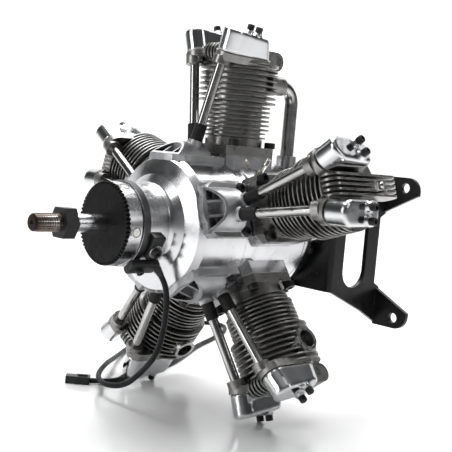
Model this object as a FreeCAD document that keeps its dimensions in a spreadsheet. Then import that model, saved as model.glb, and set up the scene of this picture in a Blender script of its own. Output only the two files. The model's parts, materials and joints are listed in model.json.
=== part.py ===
import FreeCAD, Part
import math
import os
import Sketcher
from FreeCAD import Placement, Rotation, Vector

# Five-cylinder radial aero engine in millimetres. The origin is the centre of the mount's
# bolt pattern on the firewall, and the crankshaft runs along Y above it with its nose
# towards -Y. Each piece is drawn in the frame of cylinder 1, where X is across, Y is fore
# and aft from the plane of the cylinders, and Z is outwards from the crankshaft.

SIZES = {
    "cylinder_count": 5,
    "plane_to_firewall": 100.0,
    "running_clearance": 0.05,
    "seat_gap": 0.1,
    # front crankcase
    "lip_front": 87.0,
    "lip_length": 4.6,
    "lip_radius": 25.6,
    "nose_radius": 24.2,
    "flare_front": 66.0,
    "flare_rear": 62.0,
    "flare_radius": 30.5,
    "flare_fillet_radius": 3.0,
    "shoulder_front": 58.5,
    "shoulder_radius": 40.0,
    "drum_front": 54.0,
    "drum_radius": 42.5,
    "chamber_radius": 36.5,
    "chamber_front": 49.5,
    "joint_front": 21.5,
    "front_bore_radius": 14.0,
    "front_opening_radius": 10.0,
    # tappet housings
    "housing_half_width": 16.4,
    "housing_seat": 39.2,
    "flange_top": 43.3,
    "housing_front": 58.3,
    "housing_shoulder": 48.8,
    "housing_rear": 21.6,
    "vault_half_width": 14.5,
    "vault_top": 51.5,
    "vault_front": 56.6,
    "vault_apex": 45.0,
    "vault_rear": 30.2,
    "vault_shell": 1.3,
    "pocket_floor": 41.2,
    "pocket_rear": 46.2,
    "rib_offset": 4.4,
    "rib_thickness": 1.2,
    "pocket_screw_across": 8.7,
    "pocket_screw_station": 52.0,
    "oil_hole_radius": 1.2,
    "side_screw_across": 13.2,
    "side_screw_station": 26.8,
    "case_screw_depth": 3.5,
    # main crankcase
    "bulkhead_front": 26.6,
    "bulkhead_rear": 12.0,
    "waist_radius": 41.2,
    "waist_rear": 12.5,
    "waist_slope": 1.5,
    "case_radius": 42.7,
    "joint_rear": 30.5,
    "seat_height": 45.5,
    "seat_root": 36.0,
    "well_floor": 30.0,
    "seat_half_across": 21.0,
    "seat_half_along": 20.5,
    "seat_corner": 5.0,
    # rear cover
    "dome_edge": 34.0,
    "dome_rear": 46.8,
    "dome_rear_radius": 31.0,
    "dome_mid_radius": 39.5,
    "dome_mid": 42.0,
    "cover_wall": 4.0,
    "cover_spigot": 3.0,
    "port_boss_across": 12.0,
    "port_boss_station": 38.3,
    "port_boss_radius": 6.8,
    "port_boss_height": 48.0,
    "cover_screw_circle": 38.3,
    "rear_thread_depth": 6.0,
    "rear_head_seat": 40.5,
    "dome_rounding_radius": 6.0,
    "port_boss_root": 33.5,
    "passage_depth": 20.0,
    "inlet_radius": 9.0,
    # crankshaft, its nut and its bearings
    "shaft_tip": 144.6,
    "thread_radius": 5.0,
    "thread_chamfer": 0.8,
    "thread_rear": 118.0,
    "shaft_radius": 5.3,
    "centre_hole_radius": 1.6,
    "centre_hole_depth": 2.2,
    "nut_front": 127.4,
    "nut_length": 8.0,
    "nut_across_flats": 17.0,
    "nut_chamfer": 0.8,
    "journal_radius": 6.0,
    "cam_journal_front": 47.0,
    "cam_journal_rear": 42.0,
    "cam_journal_radius": 8.0,
    "front_bearing_front": 84.0,
    "front_bearing_length": 8.0,
    "front_bearing_radius": 14.0,
    "rear_bearing_length": 9.0,
    "rear_bearing_front": 25.2,
    "rear_bearing_radius": 13.0,
    "rear_journal_radius": 7.0,
    "bearing_groove": 0.6,
    "race_width": 2.2,
    "web_front": 9.6,
    "web_rear": 4.4,
    "web_radius": 22.0,
    "web_waist": 11.0,
    "web_neck": 9.0,
    "crank_throw": 12.0,
    "crankpin_radius": 4.5,
    "crankpin_front": 4.05,
    "crankpin_rear": 4.6,
    # drive washer
    "washer_front": 97.5,
    "washer_rear": 87.5,
    "washer_radius": 24.6,
    "serration_count": 60,
    "serration_width": 1.2,
    "serration_depth": 1.4,
    "serration_inner": 22.6,
    "washer_rim_step": 0.7,
    "magnet_radius": 2.5,
    "magnet_depth": 2.5,
    "magnet_station": 91.4,
    "magnet_clock": 24.0,
    # gear train
    "gear_module": 0.8,
    "crank_teeth": 18,
    "idler_teeth": 24,
    "idler_small_teeth": 21,
    "cam_teeth": 63,
    "pressure_angle": 20.0,
    "gear_backlash": 0.12,
    "crank_gear_front": 34.0,
    "crank_gear_rear": 29.0,
    "cam_gear_front": 41.4,
    "cam_gear_rear": 36.4,
    "idler_pin_radius": 3.0,
    "idler_seat_depth": 5.0,
    "idler_hub_radius": 6.0,
    "cam_disc_front": 44.6,
    "cam_disc_rear": 42.0,
    "cam_rear": 27.6,
    "cam_base_radius": 31.0,
    "cam_lobe_radius": 33.4,
    "cam_lobe_curve": 9.0,
    "cam_relief_radius": 28.2,
    "intake_track": 38.7,
    "exhaust_track": 31.2,
    "cam_track_width": 5.0,
    # pushrods, tubes and boots
    "tube_outer_height": 100.0,
    "tube_outer_across": 12.1,
    "tube_outer_station": 27.9,
    "tube_inner_height": 62.7,
    "tube_inner_across": 6.2,
    "intake_inner_station": 34.2,
    "exhaust_inner_station": 29.5,
    "tube_radius": 3.0,
    "tube_wall": 0.5,
    "pushrod_radius": 1.2,
    "pushrod_reach": 11.0,
    "tappet_radius": 2.4,
    "tappet_length": 10.0,
    "boss_radius": 4.6,
    "boss_depth": 21.0,
    "tappet_reach": 30.3,
    "boot_radius": 3.9,
    "boot_length": 10.5,
    "boot_grip": 8.0,
    # cylinder
    "bore_radius": 14.0,
    "spigot_radius": 17.0,
    "spigot_inner": 41.5,
    "foot_thickness": 6.0,
    "foot_screw_across": 17.4,
    "foot_screw_along": 15.8,
    "skirt_radius": 18.4,
    "skirt_top": 56.6,
    "core_radius": 16.8,
    "lower_fin_radius": 20.2,
    "lower_fin_count": 2,
    "lower_fin_first": 57.7,
    "barrel_fin_radius": 22.0,
    "barrel_fin_count": 6,
    "barrel_fin_pitch": 2.78,
    "barrel_fin_first": 63.0,
    "head_fin_radius": 25.0,
    "head_fin_count": 8,
    "head_fin_pitch": 3.38,
    "head_fin_first": 79.8,
    "fin_root": 1.5,
    "fin_tip": 0.9,
    "head_core_radius": 19.0,
    "head_core_bottom": 79.0,
    "head_core_top": 105.0,
    "chamber_roof": 94.0,
    "ridge_count": 5,
    "ridge_pitch": 2.9,
    "ridge_thickness": 1.3,
    "ridge_front": 20.0,
    "ridge_rear_centre": 27.0,
    "ridge_end_radius": 6.2,
    "ridge_centre_height": 108.6,
    "exhaust_station": 2.0,
    "port_height": 92.7,
    "exhaust_port_radius": 7.6,
    "exhaust_bore_radius": 5.4,
    "exhaust_reach": 27.0,
    "exhaust_depth": 12.0,
    "intake_port_radius": 6.4,
    "intake_root": 13.2,
    "intake_reach": 26.5,
    # intake pipe
    "pipe_radius": 4.5,
    "pipe_wall": 0.8,
    "pipe_bend_radius": 11.0,
    "pipe_plug": 4.0,
    # rocker boxes and covers
    "box_tilt": 17.0,
    "box_across": 13.4,
    "box_height": 105.0,
    "box_front": 23.5,
    "box_rear": 7.5,
    "box_corner": 4.5,
    "box_bottom": -1.6,
    "box_half_width": 8.3,
    "box_thickness": 4.8,
    "box_cavity_depth": 3.5,
    "box_wall": 1.8,
    "box_boss_radius": 5.6,
    "box_boss_depth": 5.0,
    "pushrod_hole_radius": 2.0,
    "cavity_rear": 1.8,
    "cavity_corner": 2.5,
    "pedestal_front": 17.2,
    "pedestal_rear": 6.2,
    "pedestal_inner": 2.6,
    "pedestal_outer": 5.9,
    "pedestal_top": 13.5,
    "cover_thread_depth": 4.0,
    "cover_half_width": 7.6,
    "cover_height": 18.4,
    "cover_fall": 0.079,
    "cover_roof": 14.2,
    "cover_rear": 6.8,
    "cover_corner": 4.5,
    "cover_rear_top": 2.0,
    "cover_wall_inner": 1.1,
    "cover_pad_radius": 3.1,
    "cover_pad_top": 18.6,
    "cover_edge": 1.8,
    "cover_screw_station": 8.2,
    "cover_screw_offset": 3.9,
    # valve gear
    "rocker_pivot_station": 14.0,
    "rocker_pivot_height": 8.5,
    "rocker_push_arm": 13.0,
    "rocker_valve_arm": 11.0,
    "rocker_width": 4.5,
    "rocker_thickness": 2.6,
    "rocker_end_radius": 2.0,
    "rocker_hub_radius": 3.6,
    "rocker_pin_radius": 1.8,
    "rocker_pin_length": 11.8,
    "valve_lash": 0.25,
    "valve_stem_radius": 1.5,
    "valve_head_radius": 3.4,
    "valve_head_thickness": 1.2,
    "valve_seat_depth": 9.2,
    "valve_pocket_radius": 3.6,
    "valve_pocket_bottom": 14.5,
    "valve_station": 3.0,
    "retainer_radius": 3.2,
    "retainer_bottom": 4.4,
    "retainer_thickness": 1.0,
    "spring_radius": 3.1,
    "spring_wire": 0.9,
    "spring_length": 1.7,
    # pistons and rods
    "rod_length": 70.0,
    "piston_clearance": 0.08,
    "crown_height": 7.0,
    "crown_thickness": 2.0,
    "piston_skirt": 9.0,
    "piston_wall": 2.4,
    "ring_groove_pitch": 1.9,
    "ring_groove_first": 1.3,
    "ring_groove_width": 0.9,
    "ring_groove_depth": 0.8,
    "wrist_pin_radius": 2.5,
    "wrist_pin_length": 24.0,
    "pin_boss_radius": 4.4,
    "pin_boss_gap": 3.4,
    "rod_eye_radius": 4.6,
    "rod_width": 5.0,
    "rod_thickness": 4.0,
    "knuckle_circle": 10.0,
    "knuckle_pin_radius": 1.7,
    "knuckle_eye_radius": 3.2,
    "big_end_radius": 13.6,
    "big_end_flange": 1.8,
    "big_end_gap": 4.4,
    "big_end_hub": 6.2,
    # spark plugs
    "plug_foot_station": 4.0,
    "plug_foot_height": 92.0,
    "plug_lean": 26.5,
    "plug_thread_radius": 3.2,
    "plug_hex": 8.0,
    "plug_body_radius": 3.0,
    "plug_seat": 12.0,
    "plug_well_radius": 5.2,
    "plug_hex_height": 4.0,
    "plug_length": 27.0,
    # ignition sensor on the nose
    "lead_radius": 1.75,
    "gland_radius": 2.3,
    "gland_length": 6.0,
    "connector_length": 16.0,
    "connector_shoulder": 9.5,
    "connector_half_width": 4.5,
    "connector_nose_half_width": 3.6,
    "connector_below_lead": 2.05,
    "connector_height": 5.0,
    "connector_rib_half_width": 1.3,
    "connector_rib_front": 8.0,
    "connector_rib_height": 0.9,
    "connector_socket_side": 1.2,
    "connector_socket_pitch": 2.54,
    "connector_socket_depth": 4.0,
    "sensor_clock": 140.0,
    "sensor_inner": 27.2,
    "sensor_outer": 35.6,
    "sensor_half_width": 5.5,
    "sensor_front": 98.0,
    "sensor_rear": 71.5,
    "bracket_front": 81.9,
    "bracket_rear": 68.0,
    "bracket_clock": 118.0,
    "bracket_root": 20.0,
    "bracket_top": 28.6,
    "bracket_near": 9.5,
    "bracket_far": 6.0,
    "bracket_screw_station": 77.5,
    # engine mount
    "mount_thickness": 3.0,
    "mount_panel_front": 46.8,
    "mount_half_width": 52.0,
    "mount_drop": 10.5,
    "mount_panel_half_height": 27.5,
    "mount_wall_half_height": 51.0,
    "mount_waist_half_height": 41.5,
    "mount_waist_station": 83.0,
    "mount_slot_centre": 71.0,
    "mount_slot_half_width": 11.6,
    "mount_slot_half_length": 25.0,
    "mount_strut_rear": 94.5,
    "mount_strut_half_height": 22.5,
    "mount_bolt_half_across": 68.0,
    "mount_bolt_half_height": 44.0,
    "mount_bolt_radius": 3.3,
    "mount_ear_radius": 9.0,
    "mount_ear_tip": 10.4,
    "mount_ear_edge": 2.6,
    "mount_ear_root_high": 26.0,
    "mount_hole_radius": 13.0,
    "mount_bend_radius": 3.5,
    # carburettor
    "carb_half_width": 12.0,
    "carb_front": 52.0,
    "carb_rear": 80.0,
    "carb_half_height": 13.0,
    "carb_neck_radius": 11.0,
    "carb_bore_radius": 7.0,
    "carb_edge": 2.0,
    "trumpet_length": 5.0,
    "trumpet_wall": 2.5,
    "arm_lift": 0.3,
    "barrel_radius": 8.0,
    "barrel_clearance": 0.05,
    "barrel_depth": 10.0,
    "arm_length": 17.0,
    "arm_width": 6.0,
    "arm_hole_radius": 1.1,
    "arm_thickness": 2.0,
    # breather nipple
    "nipple_station": 1.0,
    "nipple_clock": 36.0,
    "nipple_depth": 3.0,
    "nipple_radius": 1.8,
    "nipple_height": 55.0,
    # socket screws
    "small_screw_radius": 1.5,
    "small_head_radius": 2.75,
    "small_head_height": 2.8,
    "small_screw_length": 5.0,
    "foot_screw_radius": 2.0,
    "foot_head_radius": 3.5,
    "foot_head_height": 3.8,
    "foot_screw_length": 9.0,
    "cover_head_radius": 2.3,
    "cover_head_height": 3.4,
    "cover_screw_radius": 1.25,
    "cover_screw_length": 8.0,
    "panel_screw_across": 19.0,
    "panel_screw_low": 21.0,
    "panel_screw_high": 12.0,
}

doc = FreeCAD.newDocument("radial_engine")
sheet = doc.addObject("Spreadsheet::Sheet", "sizes")
for row, (alias, value) in enumerate(SIZES.items(), start=1):
    sheet.set(f"A{row}", alias)
    sheet.set(f"B{row}", str(value))
    sheet.setAlias(f"B{row}", alias)
doc.recompute()


class Size:
    """A number worked out from the sheet, together with the expression that gives it."""

    def __init__(self, value, text):
        self.value = value
        self.text = text

    def __add__(self, other):
        return joined(self, other, "+", self.value + number(other))

    def __radd__(self, other):
        return joined(other, self, "+", number(other) + self.value)

    def __sub__(self, other):
        return joined(self, other, "-", self.value - number(other))

    def __rsub__(self, other):
        return joined(other, self, "-", number(other) - self.value)

    def __mul__(self, other):
        return joined(self, other, "*", self.value * number(other))

    def __rmul__(self, other):
        return joined(other, self, "*", number(other) * self.value)

    def __truediv__(self, other):
        return joined(self, other, "/", self.value / number(other))

    def __rtruediv__(self, other):
        return joined(other, self, "/", number(other) / self.value)

    def __neg__(self):
        return Size(-self.value, f"(0 - {self.text})")


def number(item):
    return item.value if isinstance(item, Size) else float(item)


def words(item):
    return item.text if isinstance(item, Size) else repr(float(item))


def joined(left, right, sign, value):
    return Size(value, f"({words(left)} {sign} {words(right)})")


def sine(angle):
    return Size(math.sin(math.radians(number(angle))), f"sin({words(angle)})")


def cosine(angle):
    return Size(math.cos(math.radians(number(angle))), f"cos({words(angle)})")


def root(item):
    return Size(math.sqrt(number(item)), f"sqrt({words(item)})")


def size(alias):
    return Size(float(sheet.get(alias)), f"sizes.{alias}")


def bind(obj, name, item):
    """Sets a property and ties it to the sheet."""
    if isinstance(item, Size):
        setattr(obj, name, item.value)
        obj.setExpression(name, item.text)
    else:
        setattr(obj, name, item)


def vector(point):
    return Vector(*(number(item) for item in point))


def length_between(start, end):
    total = sum(((b - a) * (b - a) for a, b in zip(start, end)), Size(0.0, "0"))
    return root(total)


CYLINDERS = range(1, int(SIZES["cylinder_count"]) + 1)
STEP = 360.0 / SIZES["cylinder_count"]
EDGE_LIMIT = 1e-4

# The middle line of the sensor's lead, from its gland down to the floor, round a loop
# there and back to its plug, measured from the crankshaft and the plane of the cylinders.
LEAD_ROUTE = [
    (20.4, -70.3, -25.6), (21.4, -65.3, -32.3), (21.7, -63.2, -42.5), (21.2, -62.6, -53.0),
    (18.9, -62.3, -66.0), (13.2, -61.6, -79.0), (0.5, -61.0, -91.5), (-13.5, -62.0, -103.6),
    (-30.0, -66.0, -106.6), (-50.0, -58.0, -106.2), (-72.5, -35.0, -105.9), (-98.5, -8.5, -110.3),
    (-126.0, 21.0, -113.7), (-152.5, 55.5, -113.7), (-176.0, 96.0, -113.7), (-195.0, 133.0, -113.7),
    (-197.0, 161.0, -113.7), (-180.0, 176.0, -113.7), (-160.0, 163.0, -113.7), (-138.2, 129.5, -113.7),
    (-118.5, 90.0, -113.7), (-95.0, 56.0, -113.7), (-78.5, 29.0, -113.7), (-71.5, 10.0, -113.7),
    (-69.5, -8.0, -113.7), (-65.5, -22.5, -113.7), (-57.5, -33.5, -113.7), (-57.0, -45.0, -113.4),
    (-63.8, -53.2, -113.4),
]
BEND_SHARE = 0.45
ACROSS = Vector(1, 0, 0)
ALONG = Vector(0, 1, 0)
OUTWARD = Vector(0, 0, 1)
NODES = []


# General helpers for bodies, sketches and features

def place(obj, turn=0.0):
    """Puts a finished node, drawn in the frame of cylinder 1, at its angle round the crankshaft."""
    base = Vector(0, -SIZES["plane_to_firewall"], SIZES["mount_drop"])
    obj.Placement = Placement(base, Rotation(ALONG, turn))
    obj.setExpression("Placement.Base.y", "-sizes.plane_to_firewall")
    obj.setExpression("Placement.Base.z", "sizes.mount_drop")
    NODES.append(obj)
    return obj


def new_body(label):
    return doc.addObject("PartDesign::Body", label)


def new_sketch(body, name, plane, shift=None, tilt=None):
    """A sketch on one of the body's own planes, shifted and tilted from it."""
    sketch = body.newObject("Sketcher::SketchObject", name)
    origin = [item for item in body.Origin.OriginFeatures if item.Role == plane][0]
    sketch.AttachmentSupport = [(origin, "")]
    sketch.MapMode = "FlatFace"
    shift = shift or (0, 0, 0)
    sketch.AttachmentOffset = Placement(vector(shift), tilt or Rotation())
    for axis, item in zip("xyz", shift):
        if isinstance(item, Size):
            sketch.setExpression(f"AttachmentOffset.Base.{axis}", item.text)
    return sketch


def fix(sketch, element, corner, point):
    """Holds a point of a sketch at its place from the sketch's origin."""
    for kind, axis, item in (("DistanceX", -2, point[0]), ("DistanceY", -1, point[1])):
        if isinstance(item, Size):
            index = sketch.addConstraint(
                Sketcher.Constraint(kind, -1, 1, element, corner, item.value))
            sketch.setExpression(f"Constraints[{index}]", item.text)
        elif item == 0:
            sketch.addConstraint(Sketcher.Constraint("PointOnObject", element, corner, axis))
        else:
            sketch.addConstraint(
                Sketcher.Constraint(kind, -1, 1, element, corner, float(item)))


def draw_outline(sketch, points):
    """A closed outline of straight lines through named points."""
    places = [Vector(number(x), number(y), 0) for x, y in points]
    count = len(points)
    first = sketch.GeometryCount
    for i in range(count):
        sketch.addGeometry(Part.LineSegment(places[i], places[(i + 1) % count]))
    for i in range(count):
        following = first + (i + 1) % count
        sketch.addConstraint(Sketcher.Constraint("Coincident", first + i, 2, following, 1))
    for i, point in enumerate(points):
        fix(sketch, first + i, 1, point)


def draw_path(sketch, corners):
    """A closed outline; each corner states the arc, if any, that leads to the next one."""
    count = len(corners)
    ends = []
    for i, (point, arc) in enumerate(corners):
        start, end = vector((*point, 0)), vector((*corners[(i + 1) % count][0], 0))
        if arc is None:
            ends.append((sketch.addGeometry(Part.LineSegment(start, end)), 1, 2))
            continue
        centre, turn = arc
        middle = vector((*centre, 0))
        first, last = (start, end) if turn > 0 else (end, start)
        angles = [math.atan2(place.y - middle.y, place.x - middle.x) for place in (first, last)]
        if angles[1] <= angles[0]:
            angles[1] += 2 * math.pi
        circle = Part.Circle(middle, OUTWARD, (first - middle).Length)
        element = sketch.addGeometry(Part.ArcOfCircle(circle, *angles))
        ends.append((element, 1, 2) if turn > 0 else (element, 2, 1))
    for i in range(count):
        following = ends[(i + 1) % count]
        sketch.addConstraint(
            Sketcher.Constraint("Coincident", ends[i][0], ends[i][2], following[0], following[1]))
    for i, (point, arc) in enumerate(corners):
        fix(sketch, ends[i][0], ends[i][1], point)
        if arc:
            level = abs(number(point[1]) - number(corners[(i + 1) % count][0][1])) < EDGE_LIMIT
            hold_centre(sketch, ends[i][0], arc[0], level)


def hold_centre(sketch, element, centre, level):
    """Holds the one coordinate of an arc's centre that its ends leave free."""
    kind, axis, item = ("DistanceY", -1, centre[1]) if level else ("DistanceX", -2, centre[0])
    if not isinstance(item, Size) and item == 0:
        sketch.addConstraint(Sketcher.Constraint("PointOnObject", element, 3, axis))
        return
    index = sketch.addConstraint(Sketcher.Constraint(kind, -1, 1, element, 3, number(item)))
    if isinstance(item, Size):
        sketch.setExpression(f"Constraints[{index}]", item.text)


def draw_circle(sketch, centre, radius):
    middle = Vector(number(centre[0]), number(centre[1]), 0)
    element = sketch.addGeometry(Part.Circle(middle, OUTWARD, number(radius)))
    fix(sketch, element, 3, centre)
    index = sketch.addConstraint(Sketcher.Constraint("Radius", element, number(radius)))
    if isinstance(radius, Size):
        sketch.setExpression(f"Constraints[{index}]", radius.text)


def draw_stadium(sketch, low, high, radius):
    """A slot outline with round ends about two centres on one vertical line."""
    r = number(radius)
    x = number(low[0])
    y_low, y_high = number(low[1]), number(high[1])
    bottom = sketch.addGeometry(
        Part.ArcOfCircle(Part.Circle(Vector(x, y_low, 0), OUTWARD, r), math.pi, 2 * math.pi))
    right = sketch.addGeometry(Part.LineSegment(Vector(x + r, y_low, 0), Vector(x + r, y_high, 0)))
    top = sketch.addGeometry(
        Part.ArcOfCircle(Part.Circle(Vector(x, y_high, 0), OUTWARD, r), 0, math.pi))
    left = sketch.addGeometry(Part.LineSegment(Vector(x - r, y_high, 0), Vector(x - r, y_low, 0)))
    ends = ((bottom, 2, right, 1), (right, 2, top, 1), (top, 2, left, 1), (left, 2, bottom, 1))
    for end in ends:
        sketch.addConstraint(Sketcher.Constraint("Tangent", *end))
    fix(sketch, bottom, 3, low)
    fix(sketch, top, 3, high)
    index = sketch.addConstraint(Sketcher.Constraint("Radius", bottom, r))
    sketch.setExpression(f"Constraints[{index}]", radius.text)


def feature(body, kind, name, sketch, **settings):
    item = body.newObject(f"PartDesign::{kind}", name)
    item.Profile = sketch
    for key, value in settings.items():
        bind(item, key, value)
    sketch.Visibility = False
    return item


def spun(body, name, points, cut=False, plane="YZ_Plane", axis="H_Axis"):
    """A solid of revolution, about the crankshaft unless told otherwise."""
    sketch = new_sketch(body, f"{name}_outline", plane)
    draw_outline(sketch, points)
    kind = "Groove" if cut else "Revolution"
    return feature(body, kind, name, sketch, ReferenceAxis=(sketch, [axis]), Angle=360.0)


def extruded(body, name, sketch, length, cut=False, reverse=False, both=False):
    settings = {"Length": length, "Reversed": reverse}
    if both:
        settings["SideType"] = "Symmetric"
    return feature(body, "Pocket" if cut else "Pad", name, sketch, **settings)


def turned_copies(body, name, originals):
    """Copies of some features round the crankshaft, one set for each cylinder."""
    pattern = body.newObject("PartDesign::PolarPattern", name)
    pattern.Originals = originals
    axis = [item for item in body.Origin.OriginFeatures if item.Role == "Y_Axis"][0]
    pattern.Axis = (axis, [""])
    pattern.Angle = 360.0
    bind(pattern, "Occurrences", int(SIZES["cylinder_count"]))
    pattern.setExpression("Occurrences", "sizes.cylinder_count")
    body.Tip = pattern
    return pattern


def row_of_copies(body, name, originals, role, count, pitch):
    pattern = body.newObject("PartDesign::LinearPattern", name)
    pattern.Originals = originals
    axis = [item for item in body.Origin.OriginFeatures if item.Role == role][0]
    pattern.Direction = (axis, [""])
    pattern.Occurrences = int(number(count))
    pattern.setExpression("Occurrences", count.text)
    bind(pattern, "Length", pitch * (count - 1))
    body.Tip = pattern
    return pattern


def round_bar(name, start, end, radius, owner=None, cut=False):
    """A cylinder between two points, on its own or as a feature of a body."""
    if owner:
        kind = "SubtractiveCylinder" if cut else "AdditiveCylinder"
        bar = owner.newObject(f"PartDesign::{kind}", name)
    else:
        bar = doc.addObject("Part::Cylinder", name)
    bind(bar, "Radius", radius)
    bind(bar, "Height", length_between(start, end))
    direction = vector(end) - vector(start)
    bar.Placement = Placement(vector(start), Rotation(OUTWARD, direction))
    for axis, item in zip("xyz", start):
        if isinstance(item, Size):
            bar.setExpression(f"Placement.Base.{axis}", item.text)
    return bar


def cut(name, base, tool):
    item = doc.addObject("Part::Cut", name)
    item.Base = base
    item.Tool = tool
    return item


def fused(name, members):
    item = doc.addObject("Part::MultiFuse", name)
    item.Shapes = members
    return item


def group(name, members):
    """Several separate solids that share one node."""
    item = doc.addObject("Part::Compound", name)
    item.Links = members
    return item


def moved(source, name, placement):
    item = group(name, [source])
    item.Placement = placement
    return item


def turned(source, name, angle):
    """A copy turned about the crankshaft."""
    return moved(source, name, Placement(Vector(), Rotation(ALONG, angle)))


def raised(source, name, height):
    item = group(name, [source])
    item.Placement = Placement(Vector(0, 0, number(height)), Rotation())
    item.setExpression("Placement.Base.z", height.text)
    return item


def round_the_case(name, sources):
    """One node that holds a copy of each source at every cylinder."""
    master = group(f"{name}_set", sources)
    copies = []
    for k in CYLINDERS:
        copies.append(turned(master, f"{name}_at_{k}", STEP * (k - 1)))
    return place(group(name, copies))


def box_frame(side=1, across=0.0, along=0.0, height=0.0):
    """The tilted frame of a rocker box: a placement at a point of that frame."""
    tilt = Rotation(ALONG, side * SIZES["box_tilt"])
    base = Vector(side * SIZES["box_across"], 0, SIZES["box_height"])
    return Placement(base, tilt).multiply(Placement(Vector(across, along, height), Rotation()))


def edges_where(shape, test):
    """Names of the edges whose two ends and middle all pass a test."""
    names = []
    for index, edge in enumerate(shape.Edges, start=1):
        middle = edge.valueAt((edge.FirstParameter + edge.LastParameter) / 2)
        points = [vertex.Point for vertex in edge.Vertexes] + [middle]
        if all(test(point) for point in points):
            names.append(f"Edge{index}")
    return names


def rounded(body, name, base, radius, test):
    doc.recompute()
    names = edges_where(base.Shape, test)
    if not names:
        raise ValueError(f"no edges to round for {name}")
    item = body.newObject("PartDesign::Fillet", name)
    item.Base = (base, names)
    bind(item, "Radius", radius)
    return item


# Crankcase: front case with five flats, main case with five cylinder seats, rear cover

def tube_end(side, inner):
    """The centre of one end of a pushrod tube; side +1 is intake and -1 is exhaust."""
    if not inner:
        return (size("tube_outer_across") * side, -size("tube_outer_station"), size("tube_outer_height"))
    station = size("intake_inner_station") if side > 0 else size("exhaust_inner_station")
    return (size("tube_inner_across") * side, -station, size("tube_inner_height"))


def along_tube(side, distance):
    """A point on a tube's axis, measured outwards from the tube's inner end."""
    start = tube_end(side, True)
    end = tube_end(side, False)
    share = distance / length_between(start, end)
    return tuple(a + (b - a) * share for a, b in zip(start, end))


def turn_of(k):
    """The angle of a cylinder from cylinder 1, clockwise from the front."""
    return Size(STEP * (k - 1), f"(360 / sizes.cylinder_count * {k - 1})")


def at_cylinder(k, point):
    """A point of the frame of cylinder 1, carried round to another cylinder."""
    x, y, z = point
    turn = turn_of(k)
    return (cosine(turn) * x + sine(turn) * z, y, cosine(turn) * z - sine(turn) * x)


def bored_along_tube(body, name, side, radius, low, high, cut_away=True):
    return round_bar(name, along_tube(side, low), along_tube(side, high), radius, body, cut_away)


SIDES = ((1, "intake"), (-1, "exhaust"))


def crankcase_front():
    body = new_body("crankcase_front")
    lip_rear = size("lip_front") - size("lip_length")
    bearing_front = size("front_bearing_front")
    spun(body, "front_casting", [
        (-size("lip_front"), size("front_opening_radius")),
        (-size("lip_front"), size("lip_radius")),
        (-lip_rear, size("lip_radius")),
        (-lip_rear, size("nose_radius")),
        (-size("flare_front"), size("nose_radius")),
        (-size("flare_rear"), size("flare_radius")),
        (-size("shoulder_front"), size("shoulder_radius")),
        (-size("drum_front"), size("drum_radius")),
        (-size("joint_front"), size("drum_radius")),
        (-size("joint_front"), size("chamber_radius")),
        (-size("chamber_front"), size("chamber_radius")),
        (-size("chamber_front"), size("front_bore_radius")),
        (-bearing_front, size("front_bore_radius")),
        (-bearing_front, size("front_opening_radius")),
    ])
    on_nose = SIZES["nose_radius"] - 1.0
    rounded(body, "flare_fillet", body.Tip, size("flare_fillet_radius"),
            lambda p: abs(p.y + SIZES["flare_front"]) < EDGE_LIMIT and math.hypot(p.x, p.z) > on_nose)
    flats = new_sketch(body, "flat_outline", "XZ_Plane", (0, 0, size("joint_front") - 1.0))
    draw_circle(flats, (0, 0), size("drum_radius") + 8.0)
    half_turn = 180 / size("cylinder_count")
    corner = size("housing_seat") / cosine(half_turn)
    draw_outline(flats, [(sine(half_turn * (2 * k - 1)) * corner, cosine(half_turn * (2 * k - 1)) * corner)
                         for k in CYLINDERS])
    extruded(body, "housing_flats", flats, size("shoulder_front") - size("joint_front") + 2.0,
             cut=True, reverse=True)
    holes = [case_screw_holes(body, size("housing_seat"), size("case_screw_depth"))]
    turned_copies(body, "five_sets_of_holes", holes)
    bore = size("tappet_radius") + size("running_clearance")
    for k in CYLINDERS:
        for side, name in SIDES:
            low = at_cylinder(k, along_tube(side, -size("tappet_reach")))
            high = at_cylinder(k, along_tube(side, -size("boss_depth")))
            round_bar(f"{name}_tappet_bore_{k}", low, high, bore, body, cut=True)
    body.Tip = screw_hole(body, "bracket_screw_hole")
    return place(body)


def case_screw_holes(body, height, depth, name="housing_screw_holes"):
    """Four holes for the screws of a tappet housing, drilled inwards from a height."""
    sketch = new_sketch(body, f"{name}_outline", "XY_Plane", (0, 0, height))
    for point in housing_screw_points():
        draw_circle(sketch, point, size("small_screw_radius"))
    return extruded(body, name, sketch, depth, cut=True)


def housing_screw_points():
    points = []
    for side in (1, -1):
        points.append((size("pocket_screw_across") * side, -size("pocket_screw_station")))
        points.append((size("side_screw_across") * side, -size("side_screw_station")))
    return points


def sensor_point(across, along, height, clock="sensor_clock"):
    """A point in the frame that is turned to a clock angle on the nose."""
    turn = size(clock)
    return (cosine(turn) * across + sine(turn) * height, along,
            cosine(turn) * height - sine(turn) * across)


def screw_hole(body, name):
    station = -size("bracket_screw_station")
    low = sensor_point(0, station, size("bracket_top") - size("small_screw_length"), "bracket_clock")
    high = sensor_point(0, station, size("bracket_top"), "bracket_clock")
    return round_bar(name, low, high, size("small_screw_radius"), body, cut=True)


def vault_path(sketch, half_width, top, base):
    """An arched cross-section on a straight base."""
    rise = top - base
    radius = (half_width * half_width + rise * rise) / (rise * 2)
    centre = (0, top - radius)
    draw_path(sketch, [((-half_width, base), None), ((half_width, base), (centre, 1))])


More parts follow.
